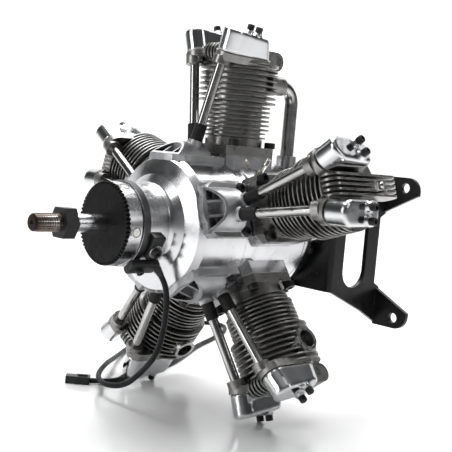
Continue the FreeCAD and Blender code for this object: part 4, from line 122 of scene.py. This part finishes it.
def sensor_lead():
    """The lead as a round curve with its route's points.

    A curve's own box counts the radius of its points, so that is small and the bevel makes up for it.
    """
    curve = bpy.data.curves.new("sensor_lead", "CURVE")
    curve.dimensions = "3D"
    spline = curve.splines.new("NURBS")
    spline.points.add(len(LEAD_ROUTE) - 1)
    for point, place in zip(spline.points, LEAD_ROUTE):
        point.co = (*(CENTRE + Vector(place)), 1.0)
        point.radius = MM
    spline.order_u = 3
    spline.use_endpoint_u = True
    curve.resolution_u = 10
    curve.bevel_depth = LEAD_RADIUS / MM
    curve.bevel_resolution = 5
    curve.use_fill_caps = True
    lead = link(bpy.data.objects.new("sensor_lead", curve))
    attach(lead, "engine")
    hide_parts("sensor_cord")
    return lead


LEAD = sensor_lead()


# Materials

# The sockets of a Mix node in RGBA mode
COLOUR_A, COLOUR_B, MIXED_COLOUR = 6, 7, 2
# How far the bevelled normal leans at an edge painted brighter, partly as wear and partly as a painted
# highlight, as the cosine of the angle, from the full brighter colour to none
WEAR_AND_HIGHLIGHT_EDGE = (0.78, 0.97)


class Finish:
    """A procedural material: a Principled shader fed by noise in the row frame."""

    def __init__(self, name, colour, metallic=0.0, roughness=0.4):
        self.material = bpy.data.materials.new(name)
        self.material.use_nodes = True
        self.tree = self.material.node_tree
        self.tree.nodes.clear()
        output = self.node("OutputMaterial")
        self.shader = self.node("BsdfPrincipled")
        self.tree.links.new(self.shader.outputs[0], output.inputs[0])
        self.shader.inputs["Metallic"].default_value = metallic
        self.shader.inputs["Roughness"].default_value = roughness
        self.shader.inputs["Base Color"].default_value = (*colour, 1.0)
        self.place = self.node("TexCoord").outputs["Object"]
        self.base = colour
        self.normal = None

    def matt(self, level):
        """Less shine on a black surface."""
        self.shader.inputs["Specular IOR Level"].default_value = level
        return self

    def node(self, kind, **settings):
        item = self.tree.nodes.new(f"ShaderNode{kind}")
        for key, value in settings.items():
            setattr(item, key, value)
        return item

    def feed(self, source, target):
        self.tree.links.new(source, target)

    def noise(self, scale, detail=4.0):
        """A grey noise of that many cells to the metre."""
        texture = self.node("TexNoise")
        texture.inputs["Scale"].default_value = scale
        texture.inputs["Detail"].default_value = detail
        self.feed(self.place, texture.inputs["Vector"])
        return texture.outputs["Fac"]

    def span(self, value, low, high, start=0.35, end=0.65):
        """Maps a grey value to a range."""
        item = self.node("MapRange")
        limits = {"From Min": start, "From Max": end, "To Min": low, "To Max": high}
        for key, number in limits.items():
            item.inputs[key].default_value = number
        self.feed(value, item.inputs["Value"])
        return item.outputs[0]

    def mixed(self, share, first, second):
        """A blend of two colours, each given as a tuple or as another node's output."""
        item = self.node("Mix", data_type="RGBA")
        for value, key in ((first, COLOUR_A), (second, COLOUR_B)):
            if isinstance(value, tuple):
                item.inputs[key].default_value = (*value, 1.0)
            else:
                self.feed(value, item.inputs[key])
        self.feed(share, item.inputs[0])
        return item.outputs[MIXED_COLOUR]

    def tinted(self, other, scale):
        """Soft patches of a second colour."""
        share = self.span(self.noise(scale), 0.0, 1.0, 0.35, 0.7)
        self.base = self.mixed(share, self.base, other)
        self.feed(self.base, self.shader.inputs["Base Color"])
        return self

    def uneven(self, low, high, scale):
        """Roughness that varies over the surface."""
        self.feed(self.span(self.noise(scale), low, high), self.shader.inputs["Roughness"])
        return self

    def relief(self, scale, depth, detail=2.0):
        """Fine unevenness of a given depth in metres."""
        bump = self.node("Bump")
        bump.inputs["Strength"].default_value = 1.0
        bump.inputs["Distance"].default_value = depth
        self.feed(self.noise(scale, detail), bump.inputs["Height"])
        if self.normal:
            self.feed(self.normal, bump.inputs["Normal"])
        self.normal = bump.outputs[0]
        self.feed(self.normal, self.shader.inputs["Normal"])
        return self

    def rounded(self, radius, edge_colour=None, share=0.8):
        """Edges that catch the light as if rounded, and may be painted brighter, partly as wear and
        partly as a painted highlight.
        """
        bevel = self.node("Bevel", samples=4)
        bevel.inputs["Radius"].default_value = radius
        if edge_colour:
            geometry = self.node("NewGeometry")
            facing = self.node("VectorMath", operation="DOT_PRODUCT")
            self.feed(bevel.outputs[0], facing.inputs[0])
            self.feed(geometry.outputs["Normal"], facing.inputs[1])
            # Where the bevelled normal leans away, the edge colour is painted in: partly wear, partly a
            # painted highlight along the edge
            wear_and_highlight = self.span(facing.outputs["Value"], share, 0.0, *WEAR_AND_HIGHLIGHT_EDGE)
            wear_and_highlight_colour = self.mixed(wear_and_highlight, self.base, edge_colour)
            self.feed(wear_and_highlight_colour, self.shader.inputs["Base Color"])
        self.normal = bevel.outputs[0]
        self.feed(self.normal, self.shader.inputs["Normal"])
        return self


POLISHED = (Finish("polished_aluminium", (0.66, 0.66, 0.67), 1.0).tinted((0.56, 0.56, 0.575), 30.0)
            .uneven(0.16, 0.28, 90.0).rounded(0.0006)
            .relief(55.0, 0.00012, 1.0).relief(1600.0, 0.000003, 2.0)).material
CAST = (Finish("cast_aluminium", (0.54, 0.545, 0.55), 1.0).tinted((0.42, 0.42, 0.43), 80.0)
        .uneven(0.34, 0.55, 120.0).rounded(0.0005, (0.62, 0.62, 0.63))
        .relief(1400.0, 0.00008, 4.0)).material
# The fins' edges are painted brighter: partly bare machined metal, partly a painted highlight along the
# fins
CYLINDER = (Finish("cylinder_metal", (0.33, 0.325, 0.315), 1.0).tinted((0.23, 0.225, 0.216), 60.0)
            .uneven(0.26, 0.44, 220.0).rounded(0.0003, (0.62, 0.61, 0.60))
            .relief(2400.0, 0.00002, 2.0)).material
CHROME = (Finish("chrome", (0.68, 0.685, 0.69), 1.0).tinted((0.60, 0.605, 0.615), 50.0)
          .uneven(0.04, 0.13, 120.0).rounded(0.0018).relief(90.0, 0.0001, 1.0)).material
PORT = (Finish("machined_port", (0.46, 0.455, 0.45), 1.0).tinted((0.34, 0.335, 0.33), 120.0)
        .uneven(0.24, 0.36, 300.0).rounded(0.0003).relief(2600.0, 0.000004)).material
PIPE = (Finish("chrome_pipe", (0.50, 0.495, 0.49), 1.0).tinted((0.38, 0.375, 0.37), 70.0)
        .uneven(0.10, 0.24, 160.0).rounded(0.0002).relief(800.0, 0.00002, 2.0)).material
BRIGHT_STEEL = (Finish("bright_steel", (0.62, 0.62, 0.63), 1.0).tinted((0.48, 0.48, 0.49), 90.0)
                .uneven(0.18, 0.28, 200.0).rounded(0.0003).relief(3000.0, 0.000002, 2.0)).material
BRONZE = (Finish("bronze_thread", (0.15, 0.105, 0.075), 1.0).tinted((0.075, 0.055, 0.042), 240.0)
          .uneven(0.28, 0.45, 400.0).rounded(0.0001, (0.34, 0.28, 0.22))
          .relief(3000.0, 0.00002)).material
# A near-black copy of the thread's bronze: painted shade in the roots between the thread's turns
SHADED_THREAD_ROOTS = (Finish("thread_roots_painted_shade", (0.035, 0.024, 0.018), 1.0).tinted((0.018, 0.014, 0.012), 240.0)
                .uneven(0.34, 0.5, 400.0).rounded(0.0001, (0.20, 0.15, 0.11))
                .relief(3000.0, 0.00002)).material
MOUNT = (Finish("black_paint", (0.005, 0.005, 0.0055)).matt(0.35).tinted((0.011, 0.011, 0.012), 60.0)
         .uneven(0.26, 0.36, 150.0).rounded(0.0007).relief(1800.0, 0.000006, 2.0)).material
OXIDE = (Finish("black_oxide", (0.010, 0.010, 0.010)).matt(0.4).tinted((0.018, 0.0175, 0.017), 400.0)
         .uneven(0.30, 0.48, 900.0).rounded(0.00022, (0.10, 0.10, 0.105), 0.6)
         .relief(3500.0, 0.00002)).material
BLACK_FACE = (Finish("black_anodised", (0.004, 0.004, 0.0044)).matt(0.14)
              .tinted((0.010, 0.010, 0.0105), 120.0).uneven(0.42, 0.58, 300.0)
              .rounded(0.0003, (0.05, 0.05, 0.052), 0.5)
              .relief(2600.0, 0.00002)).material
RUBBER = (Finish("black_rubber", (0.005, 0.005, 0.0055)).matt(0.3).tinted((0.014, 0.014, 0.0145), 300.0)
          .uneven(0.5, 0.72, 500.0).rounded(0.0005).relief(2200.0, 0.00005, 3.0)).material
PLASTIC = (Finish("black_plastic", (0.007, 0.0073, 0.008)).matt(0.35)
           .tinted((0.015, 0.0155, 0.017), 200.0).uneven(0.30, 0.46, 500.0).rounded(0.0004)
           .relief(3200.0, 0.00003, 2.0)).material
CABLE = (Finish("cable_jacket", (0.006, 0.0065, 0.008)).matt(0.2).tinted((0.011, 0.012, 0.014), 150.0)
         .uneven(0.46, 0.60, 260.0).relief(2600.0, 0.00004, 2.0)).material
CERAMIC = (Finish("white_ceramic", (0.80, 0.79, 0.75)).tinted((0.70, 0.68, 0.63), 160.0)
           .uneven(0.16, 0.30, 300.0).rounded(0.0003).relief(900.0, 0.00002)).material
MAGNET = (Finish("magnet_plating", (0.66, 0.65, 0.63), 1.0).tinted((0.50, 0.49, 0.47), 400.0)
          .uneven(0.20, 0.34, 700.0).rounded(0.0002).relief(2600.0, 0.00001)).material
INNER = (Finish("ground_steel", (0.50, 0.50, 0.51), 1.0).tinted((0.38, 0.37, 0.36), 140.0)
         .uneven(0.22, 0.38, 300.0).rounded(0.0003).relief(2400.0, 0.00001)).material
SPRING = (Finish("spring_steel", (0.33, 0.32, 0.31), 1.0).tinted((0.22, 0.21, 0.20), 300.0)
          .uneven(0.26, 0.40, 600.0).rounded(0.0002).relief(2400.0, 0.00002)).material
PISTON = (Finish("turned_aluminium", (0.62, 0.62, 0.63), 1.0).tinted((0.48, 0.48, 0.49), 120.0)
          .uneven(0.26, 0.42, 300.0).rounded(0.0003).relief(2000.0, 0.00002)).material
CARBURETTOR = (Finish("dark_anodised", (0.085, 0.085, 0.09), 0.9).tinted((0.13, 0.13, 0.135), 90.0)
               .uneven(0.30, 0.48, 260.0).rounded(0.0004, (0.30, 0.30, 0.31), 0.6)
               .relief(2000.0, 0.00004, 3.0)).material
NICKEL = (Finish("nickel_plating", (0.62, 0.60, 0.56), 1.0).tinted((0.50, 0.48, 0.44), 300.0)
          .uneven(0.16, 0.30, 500.0).rounded(0.0002).relief(2600.0, 0.00001)).material
DARK_RING = (Finish("dark_ring", (0.085, 0.085, 0.088), 0.9).tinted((0.06, 0.06, 0.062), 150.0)
             .uneven(0.34, 0.48, 300.0).rounded(0.0003, (0.25, 0.25, 0.26), 0.5)
             .relief(2400.0, 0.00002)).material
GROOVE = (Finish("dark_groove", (0.02, 0.02, 0.02)).tinted((0.035, 0.033, 0.03), 500.0)
          .uneven(0.5, 0.7, 600.0).relief(2600.0, 0.00001)).material

FINISHES = {
    "polished_case": POLISHED, "cast_grey": CAST, "cylinder_metal": CYLINDER, "chrome_cover": CHROME,
    "chrome_pipe": PIPE, "bright_steel": BRIGHT_STEEL, "bronze_thread": BRIGHT_STEEL,
    "black_steel": MOUNT, "black_screw": OXIDE, "black_rubber": RUBBER, "black_plastic": PLASTIC,
    "cable_jacket": CABLE, "white_ceramic": CERAMIC, "magnet_metal": MAGNET, "inner_steel": INNER,
    "spring_steel": SPRING, "piston_alloy": PISTON, "carb_alloy": CARBURETTOR, "brass": NICKEL,
}


def paint(obj, *materials):
    obj.data.materials.clear()
    for material in materials:
        obj.data.materials.append(material)
    return obj


def split(obj, test, index=1):
    """Gives a second finish to the faces whose middle passes a test."""
    for face in obj.data.polygons:
        if test(face.center):
            face.material_index = index


def from_axis(place):
    """The distance from the crankshaft's axis in millimetres."""
    return math.hypot(place.x - CENTRE.x, place.z - CENTRE.z) / MM


def along(place):
    """The station along the crankshaft in millimetres, from the plane of the cylinders."""
    return (place.y - CENTRE.y) / MM


for part in frame["record"]["subparts"]:
    paint(NODES[part["node"]], FINISHES[part["material_slot"]])
paint(LEAD, CABLE)

# The shaft is threaded ahead of this station, the drive washer has its rim behind this one, and the
# nose has a dark lip ahead of this one, outside this radius
SHAFT_THREADED, WASHER_RIM = -127.0, -95.0
NOSE_LIP, NOSE_LIP_RADIUS = -82.5, 24.5

# The threaded stretch of the shaft is painted near-black as painted shade in the thread's roots
paint(NODES["crankshaft"], BRIGHT_STEEL, SHADED_THREAD_ROOTS)
split(NODES["crankshaft"], lambda p: along(p) < SHAFT_THREADED)
paint(NODES["drive_washer"], BLACK_FACE, BRIGHT_STEEL)
split(NODES["drive_washer"], lambda p: along(p) > WASHER_RIM)
paint(NODES["crankcase_front"], POLISHED, DARK_RING)
split(NODES["crankcase_front"], lambda p: along(p) < NOSE_LIP and from_axis(p) > NOSE_LIP_RADIUS)

# The exhaust port of a cylinder: its middle, the reach of its lip and of its bore
PORT_STATION, PORT_HEIGHT = 2.0, 92.7
PORT_LIP, PORT_LIP_RADIUS = -20.6, 8.6
PORT_BORE, PORT_BORE_RADIUS = -9.0, 5.5


def in_cylinder(k, place):
    """A point of the row frame in millimetres across, along and outward in a cylinder's frame."""
    turn = turn_of(k)
    x, z = (place.x - CENTRE.x) / MM, (place.z - CENTRE.z) / MM
    return (x * math.cos(turn) - z * math.sin(turn), along(place),
            x * math.sin(turn) + z * math.cos(turn))


def in_port(k, place):
    """Whether a face belongs to the machined mouth of the exhaust port."""
    across, station, outward = in_cylinder(k, place)
    off_axis = math.hypot(station - PORT_STATION, outward - PORT_HEIGHT)
    on_lip = across < PORT_LIP and off_axis < PORT_LIP_RADIUS
    in_bore = across < PORT_BORE and off_axis < PORT_BORE_RADIUS
    return on_lip or in_bore


for k in CYLINDERS:
    head = paint(NODES[f"cylinder_{k}"], CYLINDER, PORT)
    split(head, lambda p, k=k: in_port(k, p))


# Small pieces that the solids leave out

def ring_mesh(mesh, start, axis, rings, steps=40):
    """Turns a profile of (distance along, radius) about an axis, closed into a loop."""
    axis = axis.normalized()
    side = axis.orthogonal().normalized()
    other = axis.cross(side)
    loops = []
    for distance, radius in rings:
        loop = []
        for step in range(steps):
            angle = 2 * math.pi * step / steps
            way = side * math.cos(angle) + other * math.sin(angle)
            loop.append(mesh.verts.new(start + (axis * distance + way * radius) * MM))
        loops.append(loop)
    for loop, following in zip(loops, loops[1:] + loops[:1]):
        for step in range(steps):
            after = (step + 1) % steps
            mesh.faces.new((loop[step], loop[after], following[after], following[step]))


def washer_profile(inner, outer, low, high, edge=0.15):
    """A flat ring with its outer corners broken."""
    return [(low, inner), (low, outer - edge), (low + edge, outer), (high - edge, outer),
            (high, outer - edge), (high, inner)]


def piece(name, mesh, body, slot, *materials):
    """Puts a made mesh into the scene on a body of the engine."""
    bmesh.ops.recalc_face_normals(mesh, faces=mesh.faces)
    data = bpy.data.meshes.new(name)
    mesh.to_mesh(data)
    mesh.free()
    obj = link(bpy.data.objects.new(name, data))
    data.shade_smooth()
    data.set_sharp_from_angle(angle=math.radians(38))
    paint(obj, *materials)
    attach(obj, body)
    return obj


def at_clock(clock, station, outward):
    """A point at a clock angle round the crankshaft, in millimetres."""
    turn = math.radians(clock)
    x = math.sin(turn) * outward
    z = math.cos(turn) * outward
    return CENTRE + Vector((x, station, z)) * MM


def outwards_at(clock):
    turn = math.radians(clock)
    return Vector((math.sin(turn), 0.0, math.cos(turn)))


def across_at(clock):
    turn = math.radians(clock)
    return Vector((math.cos(turn), 0.0, -math.sin(turn)))


THREAD_PITCH = 1.5
THREAD_START, THREAD_END = -143.3, -127.6
THREAD_ROOT, THREAD_CREST = 4.9, 5.28
# The ridge's section: shifts along the shaft, each at its foot or at its crest
THREAD_SECTION = ((-0.42, False), (-0.12, True), (0.12, True), (0.42, False))
THREAD_RUN_OUT = 0.35


def shaft_thread():
    """The rolled thread of the propeller shaft, a ridge that winds along it and fades at its ends."""
    mesh = bmesh.new()
    steps = 36
    count = int((THREAD_END - THREAD_START) / THREAD_PITCH * steps)
    rows = []
    for step in range(count + 1):
        angle = 2 * math.pi * step / steps
        place = THREAD_START + THREAD_PITCH * step / steps
        fade = min(1.0, step / steps, (count - step) / steps)
        row = []
        for shift, raised in THREAD_SECTION:
            share = THREAD_RUN_OUT + (1 - THREAD_RUN_OUT) * fade if raised else 0.0
            radius = THREAD_ROOT + (THREAD_CREST - THREAD_ROOT) * share
            spot = Vector((math.sin(angle) * radius, place + shift, math.cos(angle) * radius))
            row.append(mesh.verts.new(CENTRE + spot * MM))
        rows.append(row)
    for row, following in zip(rows, rows[1:]):
        for i in range(len(THREAD_SECTION)):
            j = (i + 1) % len(THREAD_SECTION)
            mesh.faces.new((row[i], row[j], following[j], following[i]))
    mesh.faces.new(rows[0])
    mesh.faces.new(list(reversed(rows[-1])))
    piece("shaft_thread", mesh, "crank", "bronze_thread", BRONZE)


MAGNETS = 5
MAGNET_CLOCK, MAGNET_STATION, MAGNET_GROUND = 24.0, -91.4, 24.35
MAGNET_RADIUS, MAGNET_GAP, GAP_HEIGHT = 2.45, 0.4, 0.27


def magnet_rims():
    """The fine gap round each magnet in the washer's rim."""
    mesh = bmesh.new()
    gap_radius = MAGNET_RADIUS + MAGNET_GAP
    for number in range(MAGNETS):
        clock = MAGNET_CLOCK + 360.0 / MAGNETS * number
        ring_mesh(mesh, at_clock(clock, MAGNET_STATION, MAGNET_GROUND), outwards_at(clock),
                  [(0.0, MAGNET_RADIUS), (0.0, gap_radius),
                   (GAP_HEIGHT, gap_radius), (GAP_HEIGHT, MAGNET_RADIUS)], 32)
    piece("magnet_rims", mesh, "crank", "black_plastic", GROOVE)


# The bracket and the sensor stand at these clock angles of the nose
CLAMP_CLOCK, SENSOR_CLOCK = 118.0, 140.0
CLAMP_SCREW_STATION, CLAMP_SCREW_SEAT = -77.5, 28.6
TAPPET_SCREW_ACROSS, TAPPET_SCREW_STATION, TAPPET_SCREW_SEAT = 13.2, -26.8, 43.3
WASHER_BORE, CLAMP_WASHER, TAPPET_WASHER, WASHER_SUNK = 2.8, 4.3, 3.7, -0.1


def screw_washers():
    """Bright washers under the bracket screw and the outer screws of the tappet housings."""
    mesh = bmesh.new()
    ring_mesh(mesh, at_clock(CLAMP_CLOCK, CLAMP_SCREW_STATION, CLAMP_SCREW_SEAT),
              outwards_at(CLAMP_CLOCK), washer_profile(WASHER_BORE, CLAMP_WASHER, WASHER_SUNK, 0.6))
    for k in CYLINDERS:
        for side in (1, -1):
            across = TAPPET_SCREW_ACROSS * side
            seat = at(k, across, TAPPET_SCREW_STATION, TAPPET_SCREW_SEAT)
            outward = at(k, across, TAPPET_SCREW_STATION, TAPPET_SCREW_SEAT + 1.0) - seat
            ring_mesh(mesh, seat, outward,
                      washer_profile(WASHER_BORE, TAPPET_WASHER, WASHER_SUNK, 0.5))
    piece("screw_washers", mesh, "engine", "bright_steel", BRIGHT_STEEL)


def rounded_block(mesh, clock, low, high, edge):
    """A box with rounded edges, given by its limits across, along and outward at a clock angle."""
    across, outward = across_at(clock), outwards_at(clock)
    corners = [mesh.verts.new(CENTRE + (across * x + BACKWARD * y + outward * z) * MM)
               for x in (low[0], high[0]) for y in (low[1], high[1]) for z in (low[2], high[2])]
    faces = [mesh.faces.new([corners[i] for i in loop]) for loop in
             ((0, 1, 3, 2), (4, 6, 7, 5), (0, 4, 5, 1), (2, 3, 7, 6), (0, 2, 6, 4), (1, 5, 7, 3))]
    edges = list(dict.fromkeys(side for face in faces for side in face.edges))
    bmesh.ops.bevel(mesh, geom=edges, offset=edge * MM, segments=3, profile=0.5, affect="EDGES")


SENSOR_LOW, SENSOR_HIGH, SENSOR_EDGE = (-4.9, -92.0, 27.3), (4.9, -71.6, 31.9), 1.3
SENSOR_SCREW_STATION = -84.6
# Profiles of (distance along, radius)
GLAND = [(-6.0, 0.3), (-6.0, 2.7), (-2.0, 2.6), (0.5, 2.2), (3.0, 1.95), (3.0, 0.3)]
SCREW_HEAD = [(-0.3, 0.9), (-0.3, 2.3), (2.6, 2.3), (2.9, 2.05), (2.9, 1.2), (1.5, 1.15), (1.5, 0.2)]


def sensor_case():
    """The sensor bar with rounded ends, its screw and the tapered gland of the lead."""
    mesh = bmesh.new()
    rounded_block(mesh, SENSOR_CLOCK, SENSOR_LOW, SENSOR_HIGH, SENSOR_EDGE)
    start, follow = (CENTRE + Vector(LEAD_ROUTE[i]) for i in (0, 1))
    ring_mesh(mesh, start, follow - start, GLAND, 28)
    case = piece("sensor_case", mesh, "engine", "black_plastic", PLASTIC)
    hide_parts("sensor_body")
    screw = bmesh.new()
    seat = at_clock(SENSOR_CLOCK, SENSOR_SCREW_STATION, SENSOR_HIGH[2])
    ring_mesh(screw, seat, outwards_at(SENSOR_CLOCK), SCREW_HEAD, 28)
    piece("sensor_screw", screw, "engine", "black_screw", OXIDE)


CLAMP_LOW, CLAMP_HIGH, CLAMP_EDGE = (-9.4, -81.8, 21.0), (5.9, -73.2, 28.5), 0.8


def sensor_clamp():
    """The bracket that clamps the sensor to the nose, a block with rounded edges."""
    mesh = bmesh.new()
    rounded_block(mesh, CLAMP_CLOCK, CLAMP_LOW, CLAMP_HIGH, CLAMP_EDGE)
    clamp = piece("sensor_clamp", mesh, "engine", "black_plastic", PLASTIC)
    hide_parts("sensor_bracket")


COVER_VOXEL = 0.00045
COVER_SMOOTHING = 20


def rounded_covers():
    """The chrome covers with the soft edges of a polished casting."""
    solid = NODES["rocker_covers"]
    covers = link(bpy.data.objects.new("chrome_covers", solid.data.copy()))
    weld = covers.modifiers.new("weld", "WELD")
    weld.merge_threshold = 0.00001
    remesh = covers.modifiers.new("remesh", "REMESH")
    remesh.mode = "VOXEL"
    remesh.voxel_size = COVER_VOXEL
    soften = covers.modifiers.new("soften", "SMOOTH")
    soften.factor = 0.5
    soften.iterations = COVER_SMOOTHING
    bpy.context.view_layer.update()
    soft_covers = covers.evaluated_get(bpy.context.evaluated_depsgraph_get())
    shape = bpy.data.meshes.new_from_object(soft_covers)
    covers.modifiers.clear()
    covers.data = shape
    shape.shade_smooth()
    paint(covers, CHROME)
    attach(covers, "engine")
    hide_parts("rocker_covers")


# The foot of each spark plug in its cylinder's frame, and its lean towards the rear
PLUG_STATION, PLUG_HEIGHT, PLUG_LEAN = 4.0, 92.0, math.radians(26.5)
RIBS, FIRST_RIB, RIB_PITCH = 4, 17.6, 1.55
# Profiles of (distance along, radius): a rib from its middle, the rest from the plug's foot
RIB = [(-0.55, 2.2), (-0.3, 2.85), (0.0, 3.0), (0.3, 2.85), (0.55, 2.2)]
PLUG_CAP = [(24.4, 0.4), (24.4, 1.9), (24.8, 2.1), (26.6, 2.1), (27.0, 1.8), (27.0, 0.4)]
PLUG_COLLAR = [(15.6, 2.6), (15.6, 3.25), (16.4, 3.25), (16.4, 2.6)]


def plug_ribs():
    """Glazed ribs round the insulators of the spark plugs, with bright end caps and collars."""
    ribs, caps = bmesh.new(), bmesh.new()
    for k in CYLINDERS:
        foot = at(k, 0.0, PLUG_STATION, PLUG_HEIGHT)
        tip = at(k, 0.0, PLUG_STATION + math.sin(PLUG_LEAN), PLUG_HEIGHT + math.cos(PLUG_LEAN))
        axis = tip - foot
        for step in range(RIBS):
            middle = FIRST_RIB + RIB_PITCH * step
            ring_mesh(ribs, foot, axis, [(middle + shift, radius) for shift, radius in RIB], 28)
        ring_mesh(caps, foot, axis, PLUG_CAP, 24)
        ring_mesh(caps, foot, axis, PLUG_COLLAR, 24)
    piece("plug_ribs", ribs, "engine", "white_ceramic", CERAMIC)
    piece("plug_caps", caps, "engine", "bright_steel", BRIGHT_STEEL)


SEAM_START, SEAM_END = 30.4, 30.65
SEAM_INSIDE, SEAM_OUTSIDE = 42.4, 42.76


def case_seam():
    """The line where the rear cover meets the drum."""
    mesh = bmesh.new()
    ring_mesh(mesh, CENTRE, BACKWARD,
              [(SEAM_START, SEAM_INSIDE), (SEAM_START, SEAM_OUTSIDE),
               (SEAM_END, SEAM_OUTSIDE), (SEAM_END, SEAM_INSIDE)], 160)
    piece("case_seam", mesh, "engine", "black_plastic", GROOVE)


shaft_thread()
magnet_rims()
screw_washers()
sensor_case()
sensor_clamp()
plug_ribs()
rounded_covers()
case_seam()


# Floor and soft studio light

# Metres from the engine, in front of and behind it as the camera sees it
FLOOR_FRONT, FLOOR_BACK, FLOOR_SIDE = -1.6, 1.8, 4.0
WALL_BEND, WALL_TOP = 0.9, 3.2
BEND_STEPS = 12
# The wall's own light grows between two heights over the floor
GLOW_START, GLOW_END, GLOW = 0.01, 0.5, 0.85


def studio():
    """A white floor that curves up into a softly lit wall behind the engine."""
    profile = [(FLOOR_FRONT, 0.0), (FLOOR_BACK, 0.0)]
    for step in range(1, BEND_STEPS + 1):
        angle = math.pi / 2 * step / BEND_STEPS
        profile.append((FLOOR_BACK + WALL_BEND * math.sin(angle), WALL_BEND * (1 - math.cos(angle))))
    profile.append((FLOOR_BACK + WALL_BEND, WALL_TOP))
    mesh = bpy.data.meshes.new("studio_floor")
    vertices = []
    for depth, height in profile:
        for side in (-FLOOR_SIDE, FLOOR_SIDE):
            place = CENTRE + BEHIND * depth + LEVEL * side
            vertices.append((place.x, place.y, FLOOR + height))
    faces = [(2 * i, 2 * i + 1, 2 * i + 3, 2 * i + 2) for i in range(len(profile) - 1)]
    mesh.from_pydata(vertices, [], faces)
    for face in mesh.polygons:
        face.use_smooth = True
    floor = link(bpy.data.objects.new("studio_floor", mesh))
    white = Finish("studio_white", (0.92, 0.92, 0.92), 0.0, 0.2).tinted((0.915, 0.915, 0.918), 3.0)
    white.uneven(0.16, 0.24, 6.0)
    height = white.node("SeparateXYZ")
    white.feed(white.place, height.inputs[0])
    glow = white.span(height.outputs["Z"], 0.0, GLOW, FLOOR + GLOW_START, FLOOR + GLOW_END)
    white.shader.inputs["Emission Color"].default_value = (1.0, 1.0, 1.0, 1.0)
    white.feed(glow, white.shader.inputs["Emission Strength"])
    paint(floor, white.material)


def softbox(name, side, back, height, size, power, aim=(0, 0, 0)):
    """An area light placed from the camera's point of view, facing the engine."""
    data = bpy.data.lights.new(name, "AREA")
    data.shape = "RECTANGLE"
    data.size, data.size_y = size
    data.energy = power
    lamp = link(bpy.data.objects.new(name, data))
    place = CENTRE + LEVEL * side + BEHIND * back + Vector((0, 0, height))
    target = CENTRE + Vector(aim)
    lamp.matrix_world = (Matrix.Translation(place)
                         @ (target - place).to_track_quat("-Z", "Y").to_matrix().to_4x4())


# Grey of the world from straight down, at 0, to straight up, at 1
SKY = [(0.0, 0.08), (0.42, 0.17), (0.55, 0.17), (0.62, 0.05), (0.8, 0.08), (1.0, 0.40)]


def surroundings(heights):
    """A world with a bright top, a dark band below it and a grey horizon, as in a light tent."""
    world = bpy.data.worlds.new("studio")
    bpy.context.scene.world = world
    world.use_nodes = True
    tree = world.node_tree
    direction = tree.nodes.new("ShaderNodeTexCoord")
    split_up = tree.nodes.new("ShaderNodeSeparateXYZ")
    height = tree.nodes.new("ShaderNodeMapRange")
    height.inputs["From Min"].default_value = -1.0
    ramp = tree.nodes.new("ShaderNodeValToRGB")
    while len(ramp.color_ramp.elements) < len(heights):
        ramp.color_ramp.elements.new(0.5)
    for element, (place, grey) in zip(ramp.color_ramp.elements, heights):
        element.position = place
        element.color = (grey * 0.97, grey * 0.985, grey, 1.0)
    tree.links.new(direction.outputs["Generated"], split_up.inputs[0])
    tree.links.new(split_up.outputs["Z"], height.inputs["Value"])
    tree.links.new(height.outputs[0], ramp.inputs[0])
    tree.links.new(ramp.outputs[0], tree.nodes["Background"].inputs["Color"])
    tree.nodes["Background"].inputs["Strength"].default_value = 1.0


studio()
surroundings(SKY)
softbox("top_light", -0.15, 0.2, 1.3, (1.1, 0.7), 13.0)
softbox("left_light", -1.2, -0.7, 0.5, (0.4, 1.1), 6.5)
softbox("right_light", 1.3, -0.4, 0.7, (0.25, 0.9), 2.6)
softbox("wall_light", 0.0, 1.3, 2.4, (3.0, 1.0), 75.0, (0.0, 0.0, 0.6))
bpy.context.scene.view_settings.view_transform = "Standard"

bpy.context.view_layer.update()
